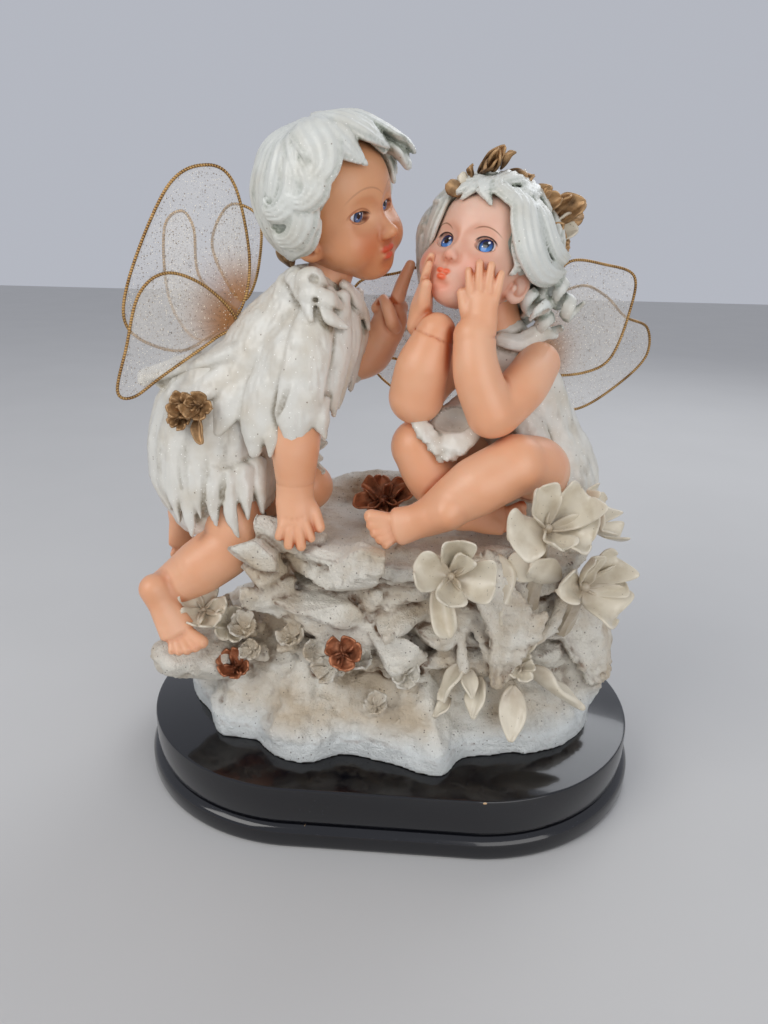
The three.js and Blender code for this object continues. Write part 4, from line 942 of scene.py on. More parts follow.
def makePlinth():
    half = plinthShape["halfDepth"]
    radius, last = (half + plinthShape["bottom"]) * 0.001, 0.0
    bpy.ops.object.select_all(action="DESELECT")
    bpy.ops.mesh.primitive_circle_add(vertices=128, radius=radius, fill_type="NGON",
                                      rotation=(0, 0, math.pi / 128))
    plinth = bpy.context.object
    plinth.name = "lacquered_plinth"
    bpy.ops.object.transform_apply(location=True, rotation=True, scale=True)
    bpy.ops.object.mode_set(mode="EDIT")
    bpy.ops.mesh.select_all(action="SELECT")
    for offset, height in plinthShape["steps"]:
        bpy.ops.mesh.extrude_region_move(TRANSFORM_OT_translate={"value": (0, 0, (height - last) * 0.001)})
        scale = (half + offset) * 0.001 / radius
        bpy.ops.transform.resize(value=(scale, scale, 1), center_override=(0, 0, 0))
        radius, last = (half + offset) * 0.001, height
    bpy.ops.object.mode_set(mode="OBJECT")
    for vertex in plinth.data.vertices:
        vertex.co.x += math.copysign(plinthShape["halfStraight"] * 0.001, vertex.co.x)
    bpy.ops.object.mode_set(mode="EDIT")
    bpy.ops.mesh.select_all(action="SELECT")
    bpy.ops.mesh.normals_make_consistent(inside=False)
    bpy.ops.object.mode_set(mode="OBJECT")
    bpy.ops.object.shade_smooth_by_angle(angle=math.radians(35))
    return plinth


wings = {  # root, yaw, roll, and the loop's outline in its own plane: out from the root, and up
    "leaning_wing_near_upper": [[-66, -10, 224], 206, 0, [
        [1, 0], [-3, 20], [2, 48], [13, 55], [29, 46], [47, 10], [48, -9], [29, -18], [12, -10]]],
    "leaning_wing_near_lower": [[-68, -13, 217], 214, 0, [
        [1, 1], [13, 15], [29, 21], [41, 13], [48, -8], [53, -25], [47, -28], [34, -20], [11, -6]]],
    "leaning_wing_far_lower": [[-68, -3, 217], 165, 0, [
        [1, 2], [21, 17], [23, 38], [29, 45], [38, 37], [38, 8], [26, -9], [9, -5]]],
    "leaning_wing_far_upper": [[-66, -5, 225], 180, 35, [
        [2, 1], [12, 13], [19, 30], [15, 47], [7, 49], [-2, 40], [-3, 14]]],
    "seated_wing_left_upper": [[62, 18, 203], 20, 0, [
        [2, 1], [6, 28], [14, 41], [32, 40], [48, 35], [48, 19], [41, -2], [28, -9], [9, -9]]],
    "seated_wing_left_lower": [[60, 21, 198], 32, 0, [
        [1, 1], [10, 27], [28, 35], [44, 30], [58, 20], [74, 14], [76, 0], [60, -13], [34, -24], [9, -20]]],
    "seated_wing_right_upper": [[54, 21, 204], 172, 0, [
        [1, 1], [9, 24], [32, 38], [58, 33], [76, 28], [80, 12], [66, -4], [38, -8], [11, -6]]],
    "seated_wing_right_lower": [[52, 25, 198], 160, 0, [
        [1, 1], [18, 12], [46, 14], [68, 4], [70, -10], [50, -22], [24, -24], [6, -14]]],
}


def wingPath(name, count):
    root, yaw, roll, outline = wings[name]
    flat = [[out, 0, height] for out, height in outline]
    path = smoothPath(flat[-2:] + flat + flat[:3], 64 * (len(flat) + 4) + 1)
    path = path[64 * 2:64 * (len(flat) + 2) + 1]
    lengths = np.concatenate([[0], np.cumsum(np.linalg.norm(np.diff(path, axis=0), axis=1))])
    even = np.linspace(0, lengths[-1], count + 1)
    path = np.stack([np.interp(even, lengths, path[:, i]) for i in range(3)], 1)[:-1]
    return path, lengths[-1], {"at": root, "yaw": yaw, "roll": roll}


thread = {"pitch": 1.1, "sides": 8, "core": 0.64, "ridge": 0.09}


def makeWire(name):  # a wire wound with gold thread: the thread shows as slanting ridges
    sides = thread["sides"]
    _, length, pose = wingPath(name, 8)
    turns = round(length / thread["pitch"])
    count = turns * 4
    path, _, _ = wingPath(name, count)
    along = unit(np.roll(path, -1, 0) - np.roll(path, 1, 0))
    normal = np.array([0, 1.0, 0])
    across = unit(np.cross(normal, along))
    angle = np.arange(sides) * 2 * math.pi / sides
    phase = 2 * math.pi * turns * np.arange(count) / count
    winding = np.cos(phase[:, None] - angle[None, :])
    swell = thread["core"] + thread["ridge"] * winding
    points = path[:, None, :] + swell[:, :, None] * (across[:, None, :] * np.cos(angle)[None, :, None]
                                                    + normal * np.sin(angle)[None, :, None])
    i, j = np.meshgrid(np.arange(count), np.arange(sides), indexing="ij")
    nextI, nextJ = (i + 1) % count, (j + 1) % sides
    corners = ((i, j), (i, nextJ), (nextI, nextJ), (nextI, j))
    faces = np.stack([(a * sides + b).ravel() for a, b in corners], 1)
    return makeMesh(name + "_thread", carry(pose, points.reshape(-1, 3)), faces[:, ::-1],
                    {"winding": winding.ravel()})


gauze = {"columns": 150, "rows": 36, "inset": 0.75, "root": [1.0, 0, 0.5], "pleats": (23, 37, 61),
         "pleatDepth": 0.85, "slack": 0.35}


def makeGauze(name):  # nylon gathered at the wing's root and pulled over the loop
    columns, rows = gauze["columns"], gauze["rows"]
    path, _, pose = wingPath(name, columns)
    along = unit(np.roll(path, -1, 0) - np.roll(path, 1, 0))
    inward = np.cross(along, [0, 1.0, 0])
    middle = path.mean(0)
    inward *= np.sign((inward * (middle - path)).sum())
    rim = path + inward * gauze["inset"]
    share = np.linspace(0, 1, rows)[:, None, None]
    points = middle + (rim[None] - middle) * share
    points = np.vstack([middle[None], points[1:].reshape(-1, 3)])
    root = np.array(gauze["root"])
    reach = np.linalg.norm(points - root, axis=1)
    angle = np.arctan2(points[:, 2] - root[2], points[:, 0] - root[0])
    dice = np.random.default_rng(len(name))
    pleats = sum(np.sin(angle * n + dice.uniform(0, 6)) for n in gauze["pleats"]) / 3
    free = np.concatenate([[0], np.repeat(share[1:, 0, 0], columns)])
    free = np.clip((1 - free) * 6, 0, 1)
    nearRoot = np.clip(1.05 - reach / 30, 0, 1) * np.clip(reach / 5, 0, 1)
    points[:, 1] += gauze["pleatDepth"] * pleats * nearRoot * (0.25 + 0.75 * free)
    points[:, 1] += gauze["slack"] * noiseAt(points, 13, len(name)) * free
    i, j = np.meshgrid(np.arange(rows - 2), np.arange(columns), indexing="ij")
    ring, nextJ = 1 + i * columns, (j + 1) % columns
    corners = (ring + j, ring + nextJ, ring + columns + nextJ, ring + columns + j)
    faces = np.stack([c.ravel() for c in corners], 1)
    j = np.arange(0, columns, 2)
    hub = np.stack([0 * j, 1 + j, 1 + (j + 1) % columns, 1 + (j + 2) % columns], 1)
    sheet = makeMesh(name + "_nylon", carry(pose, points), np.vstack([faces, hub]),
                     {"rootReach": reach, "weaveSpot": points * [1, 0, 1]})
    size = (rim.max(0) - rim.min(0)) * 0.001
    u, v = rim[:, 0], rim[:, 2]
    area = abs((u * np.roll(v, -1) - v * np.roll(u, -1)).sum()) / 2 * 1e-6
    return sheet, size[0], size[2], area


# A petal from a flat grid: cupped along and across, with a wavy rim; throat runs from 0 at its root to 1.
def makePetal(length, width, cup, curl, ruffle, pointed, seed):
    bpy.ops.object.select_all(action="DESELECT")
    bpy.ops.mesh.primitive_grid_add(x_subdivisions=12, y_subdivisions=10, size=1)
    petal = bpy.context.object
    throat = petal.data.attributes.new("throat", "FLOAT", "POINT")
    phase = np.random.default_rng(seed).uniform(0, 6, 2)
    for number, vertex in enumerate(petal.data.vertices):
        t, s = vertex.co.x + 0.5, vertex.co.y * 2
        broad = 1.12 * t ** 0.5 * math.sqrt(max(1 - t ** 5.5, 0))
        slim = math.sin(math.pi * t ** 0.8) ** 0.85 if 0 < t < 1 else 0
        outline = max(broad + (slim - broad) * pointed, 0.09)
        wave = ruffle * (math.sin(6 * t + phase[0] + s) + 0.7 * math.sin(11 * t + phase[1] - 2 * s))
        wave *= s * s + max(t - 0.75, 0) * 2
        lift = cup * (0.9 * t * t + 0.6 * s * s * outline) - curl * 4 * max(t - 0.6, 0) ** 2
        vein = 0.006 * math.cos(s * 9) * (1 - s * s)
        vertex.co = (t * length, s * outline * width / 2, (lift + wave + vein) * length)
        throat.data[number].value = t
    bpy.ops.object.modifier_add(type="SOLIDIFY")
    petal.modifiers[-1].thickness = max(0.0009, length * 0.075)
    petal.modifiers[-1].offset = 0
    bpy.ops.object.modifier_apply(modifier=petal.modifiers[-1].name)
    if length > 0.0125:
        bpy.ops.object.modifier_add(type="SUBSURF")
        petal.modifiers[-1].levels = petal.modifiers[-1].render_levels = 1
        bpy.ops.object.modifier_apply(modifier=petal.modifiers[-1].name)
    return petal


def joinAs(name, parts):
    bpy.ops.object.select_all(action="DESELECT")
    for part in parts:
        part.select_set(True)
    bpy.context.view_layer.objects.active = parts[0]
    if len(parts) > 1:
        bpy.ops.object.join()
    bpy.ops.object.transform_apply(location=True, rotation=True, scale=True)
    bpy.ops.object.mode_set(mode="EDIT")
    bpy.ops.mesh.select_all(action="SELECT")
    bpy.ops.mesh.normals_make_consistent(inside=False)
    bpy.ops.object.mode_set(mode="OBJECT")
    bpy.ops.object.shade_smooth()
    made = bpy.context.object
    made.name = name
    return made


def placeMatrix(at, yaw=0, pitch=0, roll=0):
    turn = Matrix(turnOf(yaw, pitch, roll).tolist()).to_4x4()
    return Matrix.Translation(Vector(at) * 0.001) @ turn


def makeStem(name, stops, radii):
    bpy.ops.object.select_all(action="DESELECT")
    path = smoothPath(stops, 9)
    wide = spread(radii, 9)
    bpy.ops.mesh.primitive_circle_add(vertices=12, radius=0.001, fill_type="NGON")
    stem = bpy.context.object
    bpy.ops.object.mode_set(mode="EDIT")
    bpy.ops.mesh.select_all(action="SELECT")
    for _ in range(8):
        bpy.ops.mesh.extrude_region_move(TRANSFORM_OT_translate={"value": (0, 0, 0.001)})
    bpy.ops.object.mode_set(mode="OBJECT")
    along = unit(np.gradient(path, axis=0))
    for vertex in stem.data.vertices:
        level = min(round(vertex.co.z * 1000), 8)
        angle = math.atan2(vertex.co.y, vertex.co.x)
        across = unit(np.cross(along[level], [0.3, 0.1, 0.9]))
        over = np.cross(along[level], across)
        swell = wide[level] * (1 + 0.12 * math.cos(4 * angle + level))
        out = across * math.cos(angle) + over * math.sin(angle)
        vertex.co = Vector((path[level] + swell * out) * 0.001)
    stem.name = name
    return stem


# Each petal of a flower: its angle seen from the front, its length, its width over its length, its cup.
def evenPetals(count, length, wide, cup, seed):
    dice = np.random.default_rng(seed)
    return [(360 * k / count + dice.uniform(-9, 9), length * dice.uniform(0.88, 1.1),
             wide * dice.uniform(0.9, 1.1), cup * dice.uniform(0.7, 1.3)) for k in range(count)]


def makeFlower(name, at, yaw, lift, petals, curl=0.3, centre=0.14, seed=0, pointed=0.0):
    dice = np.random.default_rng(seed)
    pose = placeMatrix(at, yaw, lift)
    parts = []
    for k, (angle, length, wide, cup) in enumerate(petals):
        petal = makePetal(length * 0.001, length * wide * 0.001, cup, curl * dice.uniform(0.3, 1.6), 0.12,
                          pointed, seed * 11 + k)
        turn = math.radians(angle)
        face = Matrix(((0, 0, 1, 0), (math.cos(turn), -math.sin(turn), 0, 0),
                       (math.sin(turn), math.cos(turn), 0, 0), (0, 0, 0, 1)))
        petal.matrix_world = pose @ Matrix.Translation((0.0007 * (k % 2), 0, 0)) @ face
        parts.append(petal)
    bpy.ops.object.select_all(action="DESELECT")
    bpy.ops.mesh.primitive_uv_sphere_add(segments=14, ring_count=8, radius=petals[0][1] * centre * 0.001)
    bud = bpy.context.object
    forward = Matrix.Translation((petals[0][1] * 0.00012, 0, 0))
    bud.matrix_world = pose @ forward @ Matrix.Scale(1.3, 4, (1, 0, 0))
    parts.append(bud)
    return joinAs(name, parts)


# A leaf or lone petal from its root to its tip; roll turns its face about that line.
def makeLeaf(name, root, tip, width, cup, curl, roll, pointed, seed):
    way = np.array(tip, float) - np.array(root, float)
    length = float(np.linalg.norm(way))
    leaf = makePetal(length * 0.001, width * 0.001, cup, curl, 0.05, pointed, seed)
    yaw, pitch = math.degrees(math.atan2(way[1], way[0])), math.degrees(math.asin(way[2] / length))
    leaf.matrix_world = placeMatrix(root, yaw, pitch, roll)
    return joinAs(name, [leaf])


orchids = [
    {"at": [27, -60, 124], "yaw": -82, "lift": 28, "from": [32, -26, 80], "petals": [(84, 13.5, 1.2, 1.2),
      (172, 16.5, 1.15, 0.7), (-14, 17, 1.2, 0.8), (-104, 12.5, 1.1, 1.2), (55, 9, 1.05, 1.5)]},
    {"at": [65, -49, 142], "yaw": -74, "lift": 38, "from": [62, -34, 100], "petals": [(110, 15, 1.1, 1.2),
      (30, 17, 1.2, 1.1), (-30, 17.5, 1.25, 0.9), (196, 19, 1.35, 0.35), (-88, 12, 1.1, 1.2)]},
    {"at": [84, -40, 113], "yaw": -62, "lift": 25, "from": [80, -24, 84], "petals": [(44, 16, 1.25, 1.2),
      (-54, 18.5, 1.3, 0.7), (172, 17, 1.0, 0.7), (104, 13, 0.95, 1.3), (2, 15, 1.1, 0.8)]},
    {"at": [86, -24, 136], "yaw": -20, "lift": 35, "from": [80, -14, 114], "petals": [(10, 14, 1.11, 0.9),
      (95, 14, 1.11, 0.8), (190, 14, 1.11, 0.9), (-80, 14, 1.11, 0.8)]},
]
smallFlowers = [  # place, yaw, lift, petal length, colour
    ([-85.5, -33, 88.5], -74, 42, 10, "white"), ([-74, -31, 81], -66, 30, 8.5, "white"),
    ([-66.7, -35, 80.5], -80, 50, 5.5, "stone"), ([-62, -38, 72], -95, 30, 4.5, "stone"),
    ([-70.8, -37, 61], -90, 45, 6.5, "copper"), ([-18, -52, 80.5], -80, 38, 7, "copper"),
    ([-42, -41, 81], -100, 50, 5.5, "stone"), ([-33, -43, 76], -70, 30, 5, "stone"),
    ([-13, -47, 74], -60, 50, 5.5, "stone"), ([-25, -46, 69], -110, 25, 5, "stone"),
    ([9, -48, 69], -90, 45, 6, "stone"), ([3, -47, 75], -60, 30, 5, "stone"),
    ([-3, -53, 55], -90, 50, 4.5, "stone"), ([60, -45, 74.5], -85, 40, 6, "white"),
]
leafBlades = [  # root, tip, width, cup, curl, roll, how pointed
    ([57.8, -48, 67.5], [56.9, -61, 46.5], 13, 0.1, 0.05, 0, 0.85),
    ([60.8, -40, 73.5], [86, -47, 50], 15, 0.25, 0.1, -30, 0.9),
    ([43.5, -45, 69], [40.6, -56, 53.5], 10.5, 0.15, 0.1, 20, 0.9),
    ([34.8, -43, 76], [28, -55, 60], 11, 0.2, 0.1, 25, 0.9),
    ([36, -44, 73], [39, -55, 63], 9, 0.15, 0.1, -10, 0.9),
    ([48, -46, 78], [44, -41, 127], 21, 0.12, 0.12, 76, 0.5),
    ([54, -44, 82], [67, -43, 97], 16, 0.1, 0.1, 60, 0.8),
    ([22, -50, 118], [29, -52, 95], 12, 0.5, 0.2, 80, 0.5),
    ([40, -44, 118], [24, -44, 104], 12, 0.3, 0.2, 100, 0.8),
    ([62, -46, 126], [52, -44, 118], 17, 0.2, 0.2, 90, 0.7),
    ([-88, -30, 84], [-93, -36, 95], 10, 0.3, 0.2, 90, 0.3),
    ([30, -50, 60], [24, -55, 52], 7, 0.2, 0.1, 0, 0.9),
    ([74, -44, 118], [60, -50, 124], 17, 0.25, 0.2, 70, 0.5),
]
wreath = [  # root, tip, width, cup, curl, roll, how pointed, colour
    ([31, -3, 278], [42.5, -3, 285], 7, 0.5, -0.3, 70, 0.6, "gold"),
    ([33, -6, 278], [41, -7, 284], 8, 0.4, 0.2, 40, 0.5, "gold"),
    ([40, 1, 278.5], [54.5, 2, 271.5], 8, 0.3, 0.2, 60, 0.9, "gold"),
    ([44, -4, 278], [52, -3, 274], 7, 0.3, 0.2, 90, 0.9, "gold"),
    ([52, 1, 269.5], [61.5, 3, 270.8], 8.5, 0.4, 0.1, 60, 0.6, "gold"),
    ([54, 3, 264], [66, 5, 268.5], 9, 0.5, 0.2, 70, 0.4, "gold"),
    ([61.5, 6, 261.5], [76.5, 8, 265.2], 14, 0.5, 0.0, 60, 0.55, "gold"),
    ([62, 5, 263], [71, 9, 270], 10, 0.5, 0.2, 100, 0.4, "gold"),
    ([58, 8, 259], [70, 14, 261], 12, 0.5, 0.2, 40, 0.4, "gold"),
    ([60, 8, 258], [75, 9, 257], 11, 0.3, 0.2, 80, 0.7, "white"),
    ([61, 7, 260], [73, 6, 262.5], 8, 0.3, 0.2, 30, 0.8, "white"),
    ([60, 9, 254], [72, 10, 252.5], 9, 0.4, 0.2, 100, 0.7, "gold"),
    ([60, 9, 250], [71, 11, 247.5], 9, 0.5, 0.2, 60, 0.5, "gold"),
    ([59, 10, 246], [69, 12, 242], 8, 0.4, 0.2, 90, 0.7, "gold"),
    ([61, 8, 255], [69, 5, 257], 7, 0.5, 0.2, 90, 0.4, "gold"),
    ([26, -11, 270], [19.5, -14, 274], 7, 0.4, 0.2, 90, 0.5, "gold"),
    ([47, 3, 274], [49.5, 5, 280], 5, 0.6, 0.4, 90, 0.4, "white"),
    ([29, -7, 275], [30, -8, 281], 4.5, 0.5, 0.3, 60, 0.8, "gold"),
    ([27, -10, 272.5], [25.6, -10, 278.5], 5, 0.5, 0.3, 120, 0.6, "white"),
    ([57, 5, 266], [64, 3, 272], 5, 0.6, 0.3, 30, 0.8, "gold"),
    ([62, 6, 258], [69, 1, 261], 6, 0.6, 0.3, 120, 0.7, "gold"),
    ([63, 7, 256], [70, 3, 253], 6, 0.5, 0.4, 60, 0.8, "gold"),
    ([62, 8, 250], [68, 4, 252], 5.5, 0.6, 0.3, 20, 0.6, "gold"),
    ([61, 9, 247], [66, 6, 243], 5, 0.5, 0.3, 100, 0.8, "gold"),
    ([64, 7, 262], [74, 12, 268], 7, 0.7, 0.4, 150, 0.6, "gold"),
    ([49, 0, 273], [55, -2, 277], 5, 0.6, 0.3, 70, 0.8, "gold"),
    ([36, -5, 279], [39, -8, 288], 5, 0.7, 0.4, 130, 0.8, "gold"),
    ([40, -2, 280], [47, -4, 284], 5, 0.6, 0.3, 20, 0.8, "gold"),
]
hipFlowers = [([-87, -35, 185.3], 5.5), ([-80, -36, 185], 6), ([-89, -35, 179.5], 4.6)]  # place, petal length
hemLeaves = [([-43, 4, 161], [-31.5, 2, 161.5], 8), ([-44, 4, 156], [-34, 2, 153.5], 7),  # root, tip, width
             ([-44, 3, 150], [-33, 2, 147.5], 8)]


def srgb(hexValue):
    parts = [int(hexValue[i:i + 2], 16) / 255 for i in (0, 2, 4)]
    return [p / 12.92 if p <= 0.04045 else ((p + 0.055) / 1.055) ** 2.4 for p in parts] + [1]


def plug(tree, node, inputs):  # a list fills the sockets in order, a dictionary fills those it names
    for key, value in inputs.items() if isinstance(inputs, dict) else enumerate(inputs):
        if isinstance(value, bpy.types.NodeSocket):
            tree.links.new(value, node.inputs[key])
        else:
            node.inputs[key].default_value = srgb(value) if isinstance(value, str) else value


def addNode(tree, kind, inputs, output=0, **settings):
    node = tree.nodes.new("ShaderNode" + kind)
    for key, value in settings.items():
        setattr(node, key, value)
    plug(tree, node, inputs)
    return node.outputs[output]


# A paint is a ground colour, coats over it, each with the mask it covers, and the surface's other inputs.
def newPaint(name, recipe, *values):
    material = bpy.data.materials.new(name)
    material.use_nodes = True
    tree = material.node_tree
    base, coats, inputs = recipe(tree, *values)
    for mask, colour in coats:
        base = addNode(tree, "Mix", {0: mask, 6: base, 7: colour}, 2, data_type="RGBA")
    plug(tree, tree.nodes["Principled BSDF"], {"Base Color": base, **inputs})
    return material


def pooledWashAndShade(tree, hollowWashAndShade, creviceWashAndShade):  # each wash of paint and painted shade in hollows and creases: how deep it starts, how deep it is full, how strong
    # darkens hollows and creases: partly a real wash of paint that pools there, partly painted shade
    washesAndShade = []
    for label, (start, full, strength) in (("hollow", hollowWashAndShade), ("crevice", creviceWashAndShade)):
        depth = addNode(tree, "Attribute", [], "Fac", attribute_name=label)
        washesAndShade.append(addNode(tree, "MapRange", [depth, start, full, 0, strength]))
    return addNode(tree, "Math", washesAndShade, operation="MAXIMUM")


def speckMask(tree, spot, scale, near, far, strength, share):  # dots, in the cells whose chance is past share
    cells = addNode(tree, "TexVoronoi", {"Vector": spot, "Scale": scale})
    dot = addNode(tree, "MapRange", [cells, near, far, strength, 0])
    chance = addNode(tree, "SeparateColor", [cells.node.outputs["Color"]])
    few = addNode(tree, "Math", [chance, share], operation="GREATER_THAN")
    return addNode(tree, "Math", [dot, few], operation="MULTIPLY")


def ovalField(tree, spot, middle, reach):  # a place in an oval's own measure, and how far out it is
    shift, scale = [-m / r for m, r in zip(middle, reach)], [1 / r for r in reach]
    oval = addNode(tree, "Mapping", {0: spot, 1: shift, 3: scale})
    return oval, addNode(tree, "VectorMath", [oval], "Value", operation="LENGTH")


# Cast resin painted pearl white: grey-green painted shade in the hollows and creases, partly a real wash,
# worn warm in patches 14 mm wide, with brown specks and fine glitter flakes in a thin clear varnish, the
# flakes painted near white as glints.
def pearl(tree, pale, deep, warm, glitter):
    spot = addNode(tree, "TexCoord", [], "Object")
    broad = addNode(tree, "TexNoise", {"Vector": spot, "Scale": 70, "Detail": 3})
    fine = addNode(tree, "TexNoise", {"Vector": spot, "Scale": 700, "Detail": 3, "Roughness": 0.65})
    uneven = addNode(tree, "MapRange", [fine, 0.3, 0.7, 0.55, 1.25])
    # grey-green painted shade in hollows and creases, partly a real wash
    shade = pooledWashAndShade(tree, (0.08, 0.5, 0.75), (0.12, 0.55, 0.7))
    shade = addNode(tree, "Math", [shade, uneven], operation="MULTIPLY")
    patch = addNode(tree, "MapRange", [broad, 0.42, 0.68, 0, 0.55])
    dot = speckMask(tree, spot, 420, 0.1, 0.17, 0.75, 0.88)
    # glitter flakes: real, but their near white colour is a painted glint
    flakes = addNode(tree, "TexVoronoi", {"Vector": spot, "Scale": 2400}, "Color")
    flake = addNode(tree, "SeparateColor", [flakes], 1)
    flake = addNode(tree, "MapRange", [flake, 1 - glitter, 1 - glitter * 0.6, 0, 1])
    rough = addNode(tree, "MapRange", [fine, 0.3, 0.7, 0.3, 0.46])
    rough = addNode(tree, "Mix", {0: flake, 2: rough, 3: 0.12}, data_type="FLOAT")
    height = addNode(tree, "Math", [flake, 0.5, fine], operation="MULTIPLY_ADD")
    bump = addNode(tree, "Bump", {"Height": height, "Strength": 0.35, "Distance": 0.0004})
    return pale, [(patch, warm), (shade, deep), (dot, "6d5a44"), (flake, "fdfbf4")], {
        "Roughness": rough, "Normal": bump, "Coat Weight": 0.25, "Coat Roughness": 0.15}


# Cast resin in peach flesh tones under a satin varnish: flushed in soft patches, orange painted shade in the
# hollows and creases, partly a real wash.
def skin(tree, pale, flush, crease):
    spot = addNode(tree, "TexCoord", [], "Object")
    broad = addNode(tree, "TexNoise", {"Vector": spot, "Scale": 45, "Detail": 2})
    fine = addNode(tree, "TexNoise", {"Vector": spot, "Scale": 900, "Detail": 2})
    patch = addNode(tree, "MapRange", [broad, 0.36, 0.66, 0, 0.6])
    # orange painted shade in hollows and creases, partly a real wash
    shade = pooledWashAndShade(tree, (0.06, 0.6, 0.85), (0.15, 0.7, 0.8))
    rough = addNode(tree, "MapRange", [fine, 0.3, 0.7, 0.34, 0.44])
    bump = addNode(tree, "Bump", {"Height": fine, "Strength": 0.06, "Distance": 0.0003})
    return pale, [(patch, flush), (shade, crease)], {
        "Roughness": rough, "Normal": bump, "Subsurface Weight": 0.12, "Subsurface Radius": (1.0, 0.4, 0.2),
        "Subsurface Scale": 0.003, "Coat Weight": 0.12, "Coat Roughness": 0.25}


# Brush strokes in the head's own frame: a soft spot, lips, or an arc along the upper or lower rim of an oval.
facePaint = {  # kind, middle (y, z), reaches, line width, colour, strength
    "leaning": [
        ("spot", [-11, -13], [8, 7.5], 0, "cf6a3c", 0.5),
        ("spot", [8, -13], [6, 7], 0, "cf6a3c", 0.4),
        ("spot", [0, -10.5], [3.2, 3], 0, "c9703f", 0.5),
        ("spot", [0, -25], [5, 3], 0, "cc6c40", 0.4),
        ("lips", [-0.9, -16.9], [3.0, 1.75], 0, "cf4a30", 0.9),
        ("brow", [-7, -6], [12, 14.9], 0.22, "8a5230", 0.3),
        ("brow", [9, -6], [9, 14.6], 0.22, "8a5230", 0.3),
        # the brown arc above this eye stands for the lid's fold: a painted shade line
        ("upper", [-10.2, -2.2], [5.4, 4.0], 0.3, "9a5630", 0.6),
        ("upper", [-9.9, -1.9], [4.6, 2.5], 0.28, "2a1713", 0.9),
        ("upper", [7.9, -1.5], [4.4, 2.5], 0.28, "2a1713", 0.9),
        ("lower", [-9.9, -1.4], [4.5, 2.4], 0.16, "7a4128", 0.6),
    ],
    "seated": [
        ("spot", [12, -13], [9, 8], 0, "ef9478", 0.55),
        ("spot", [-13, -13], [8, 8], 0, "ef9478", 0.6),
        ("spot", [0, -10], [3.5, 3], 0, "ee9676", 0.55),
        ("spot", [-1, -23], [8, 6], 0, "f0a084", 0.6),
        ("lips", [-1.6, -17.3], [2.6, 1.5], 0, "ee6230", 0.9),
        ("brow", [10.8, -1.3], [7.5, 7.4], 0.2, "8a5a3c", 0.75),
        ("brow", [-10.5, -3.2], [7.0, 7.8], 0.2, "8a5a3c", 0.75),
        ("upper", [11.1, -1.0], [4.7, 3.5], 0.24, "1a1214", 0.95),
        ("upper", [-8.5, -2.5], [4.5, 3.5], 0.24, "1a1214", 0.95),
        ("lower", [11.1, -0.8], [4.6, 3.4], 0.14, "9a6a54", 0.6),
        ("lower", [-8.5, -2.3], [4.4, 3.4], 0.14, "9a6a54", 0.6),
    ],
}
rims = {"spot": (0.1, 1.2), "lips": (0.5, 1.05)}  # where a soft spot starts to fade, and where it ends
arcs = {"upper": (0.12, 0.55), "lower": (-0.1, -0.5), "brow": (0.66, 0.9)}  # heights where an arc fades in


# Flesh resin with brushed cheeks, lips, brows and lashes that follow the head.
def faceSkin(tree, name, pale, flush, crease):
    base, coats, inputs = skin(tree, pale, flush, crease)
    headSpot = addNode(tree, "Attribute", [], "Vector", attribute_name="headSpot")
    for kind, (y, z), (a, b), width, colour, strength in facePaint[name]:
        ovals = [(y, z, a, b)]
        if kind == "lips":
            ovals = [(y - 0.62 * a, z + 0.75 * b, a, b), (y + 0.62 * a, z + 0.75 * b, a, b),
                     (y, z - 0.95 * b, 1.25 * a, 1.15 * b)]
        mask = 0.0
        for y, z, a, b in ovals:
            oval, far = ovalField(tree, headSpot, (0, y, z), (math.inf, a, b))
            if kind in arcs:
                thin = 2 * width / (a + b)
                line = addNode(tree, "Math", [far, 1.0], operation="SUBTRACT")
                line = addNode(tree, "Math", [line], operation="ABSOLUTE")
                line = addNode(tree, "MapRange", [line, thin, thin * 1.8, 1, 0])
                height = addNode(tree, "SeparateXYZ", [oval], 2)
                part = addNode(tree, "MapRange", [height, *arcs[kind], 0, 1])
                found = addNode(tree, "Math", [line, part], operation="MULTIPLY")
            else:
                found = addNode(tree, "MapRange", [far, *rims[kind], 1, 0], interpolation_type="SMOOTHSTEP")
            mask = addNode(tree, "Math", [found, mask], operation="MAXIMUM")
        coats.append((addNode(tree, "Math", [mask, strength], operation="MULTIPLY"), colour))
    return base, coats, inputs


# Glazed eyes: white, a blue iris that lightens downwards in a dark rim, a black pupil and painted highlights.
def glaze(tree, iris, pupil, dark, bright):
    eyeSpot = addNode(tree, "Attribute", [], "Vector", attribute_name="eyeSpot")
    height = addNode(tree, "SeparateXYZ", [eyeSpot], 2)
    fade = addNode(tree, "MapRange", [height, -iris * 0.75, iris * 0.35, 0, 1])
    blue = addNode(tree, "Mix", {0: fade, 6: bright, 7: dark}, 2, data_type="RGBA")
    masks = []
    for y, z, radius, soft in ((0, 0, iris, 0.1), (0, 0, iris * 0.86, 0.15), (0, iris * 0.12, pupil, 0.2),
                               (iris * 0.3, iris * 0.42, iris * 0.17, 0.3),
                               (-iris * 0.35, -iris * 0.2, iris * 0.1, 0.3)):
        _, far = ovalField(tree, eyeSpot, (0, y, z), (math.inf, radius, radius))
        masks.append(addNode(tree, "MapRange", [far, 1 - soft, 1.0, 1, 0]))
    blue = addNode(tree, "Mix", {0: masks[1], 6: "0d1326", 7: blue}, 2, data_type="RGBA")
    colours = [blue, "05060a", "f6f9ff", "f6f9ff"]
    return "e6e9ee", list(zip([masks[0], *masks[2:]], colours)), {"Roughness": 0.16, "Coat Weight": 0.5}
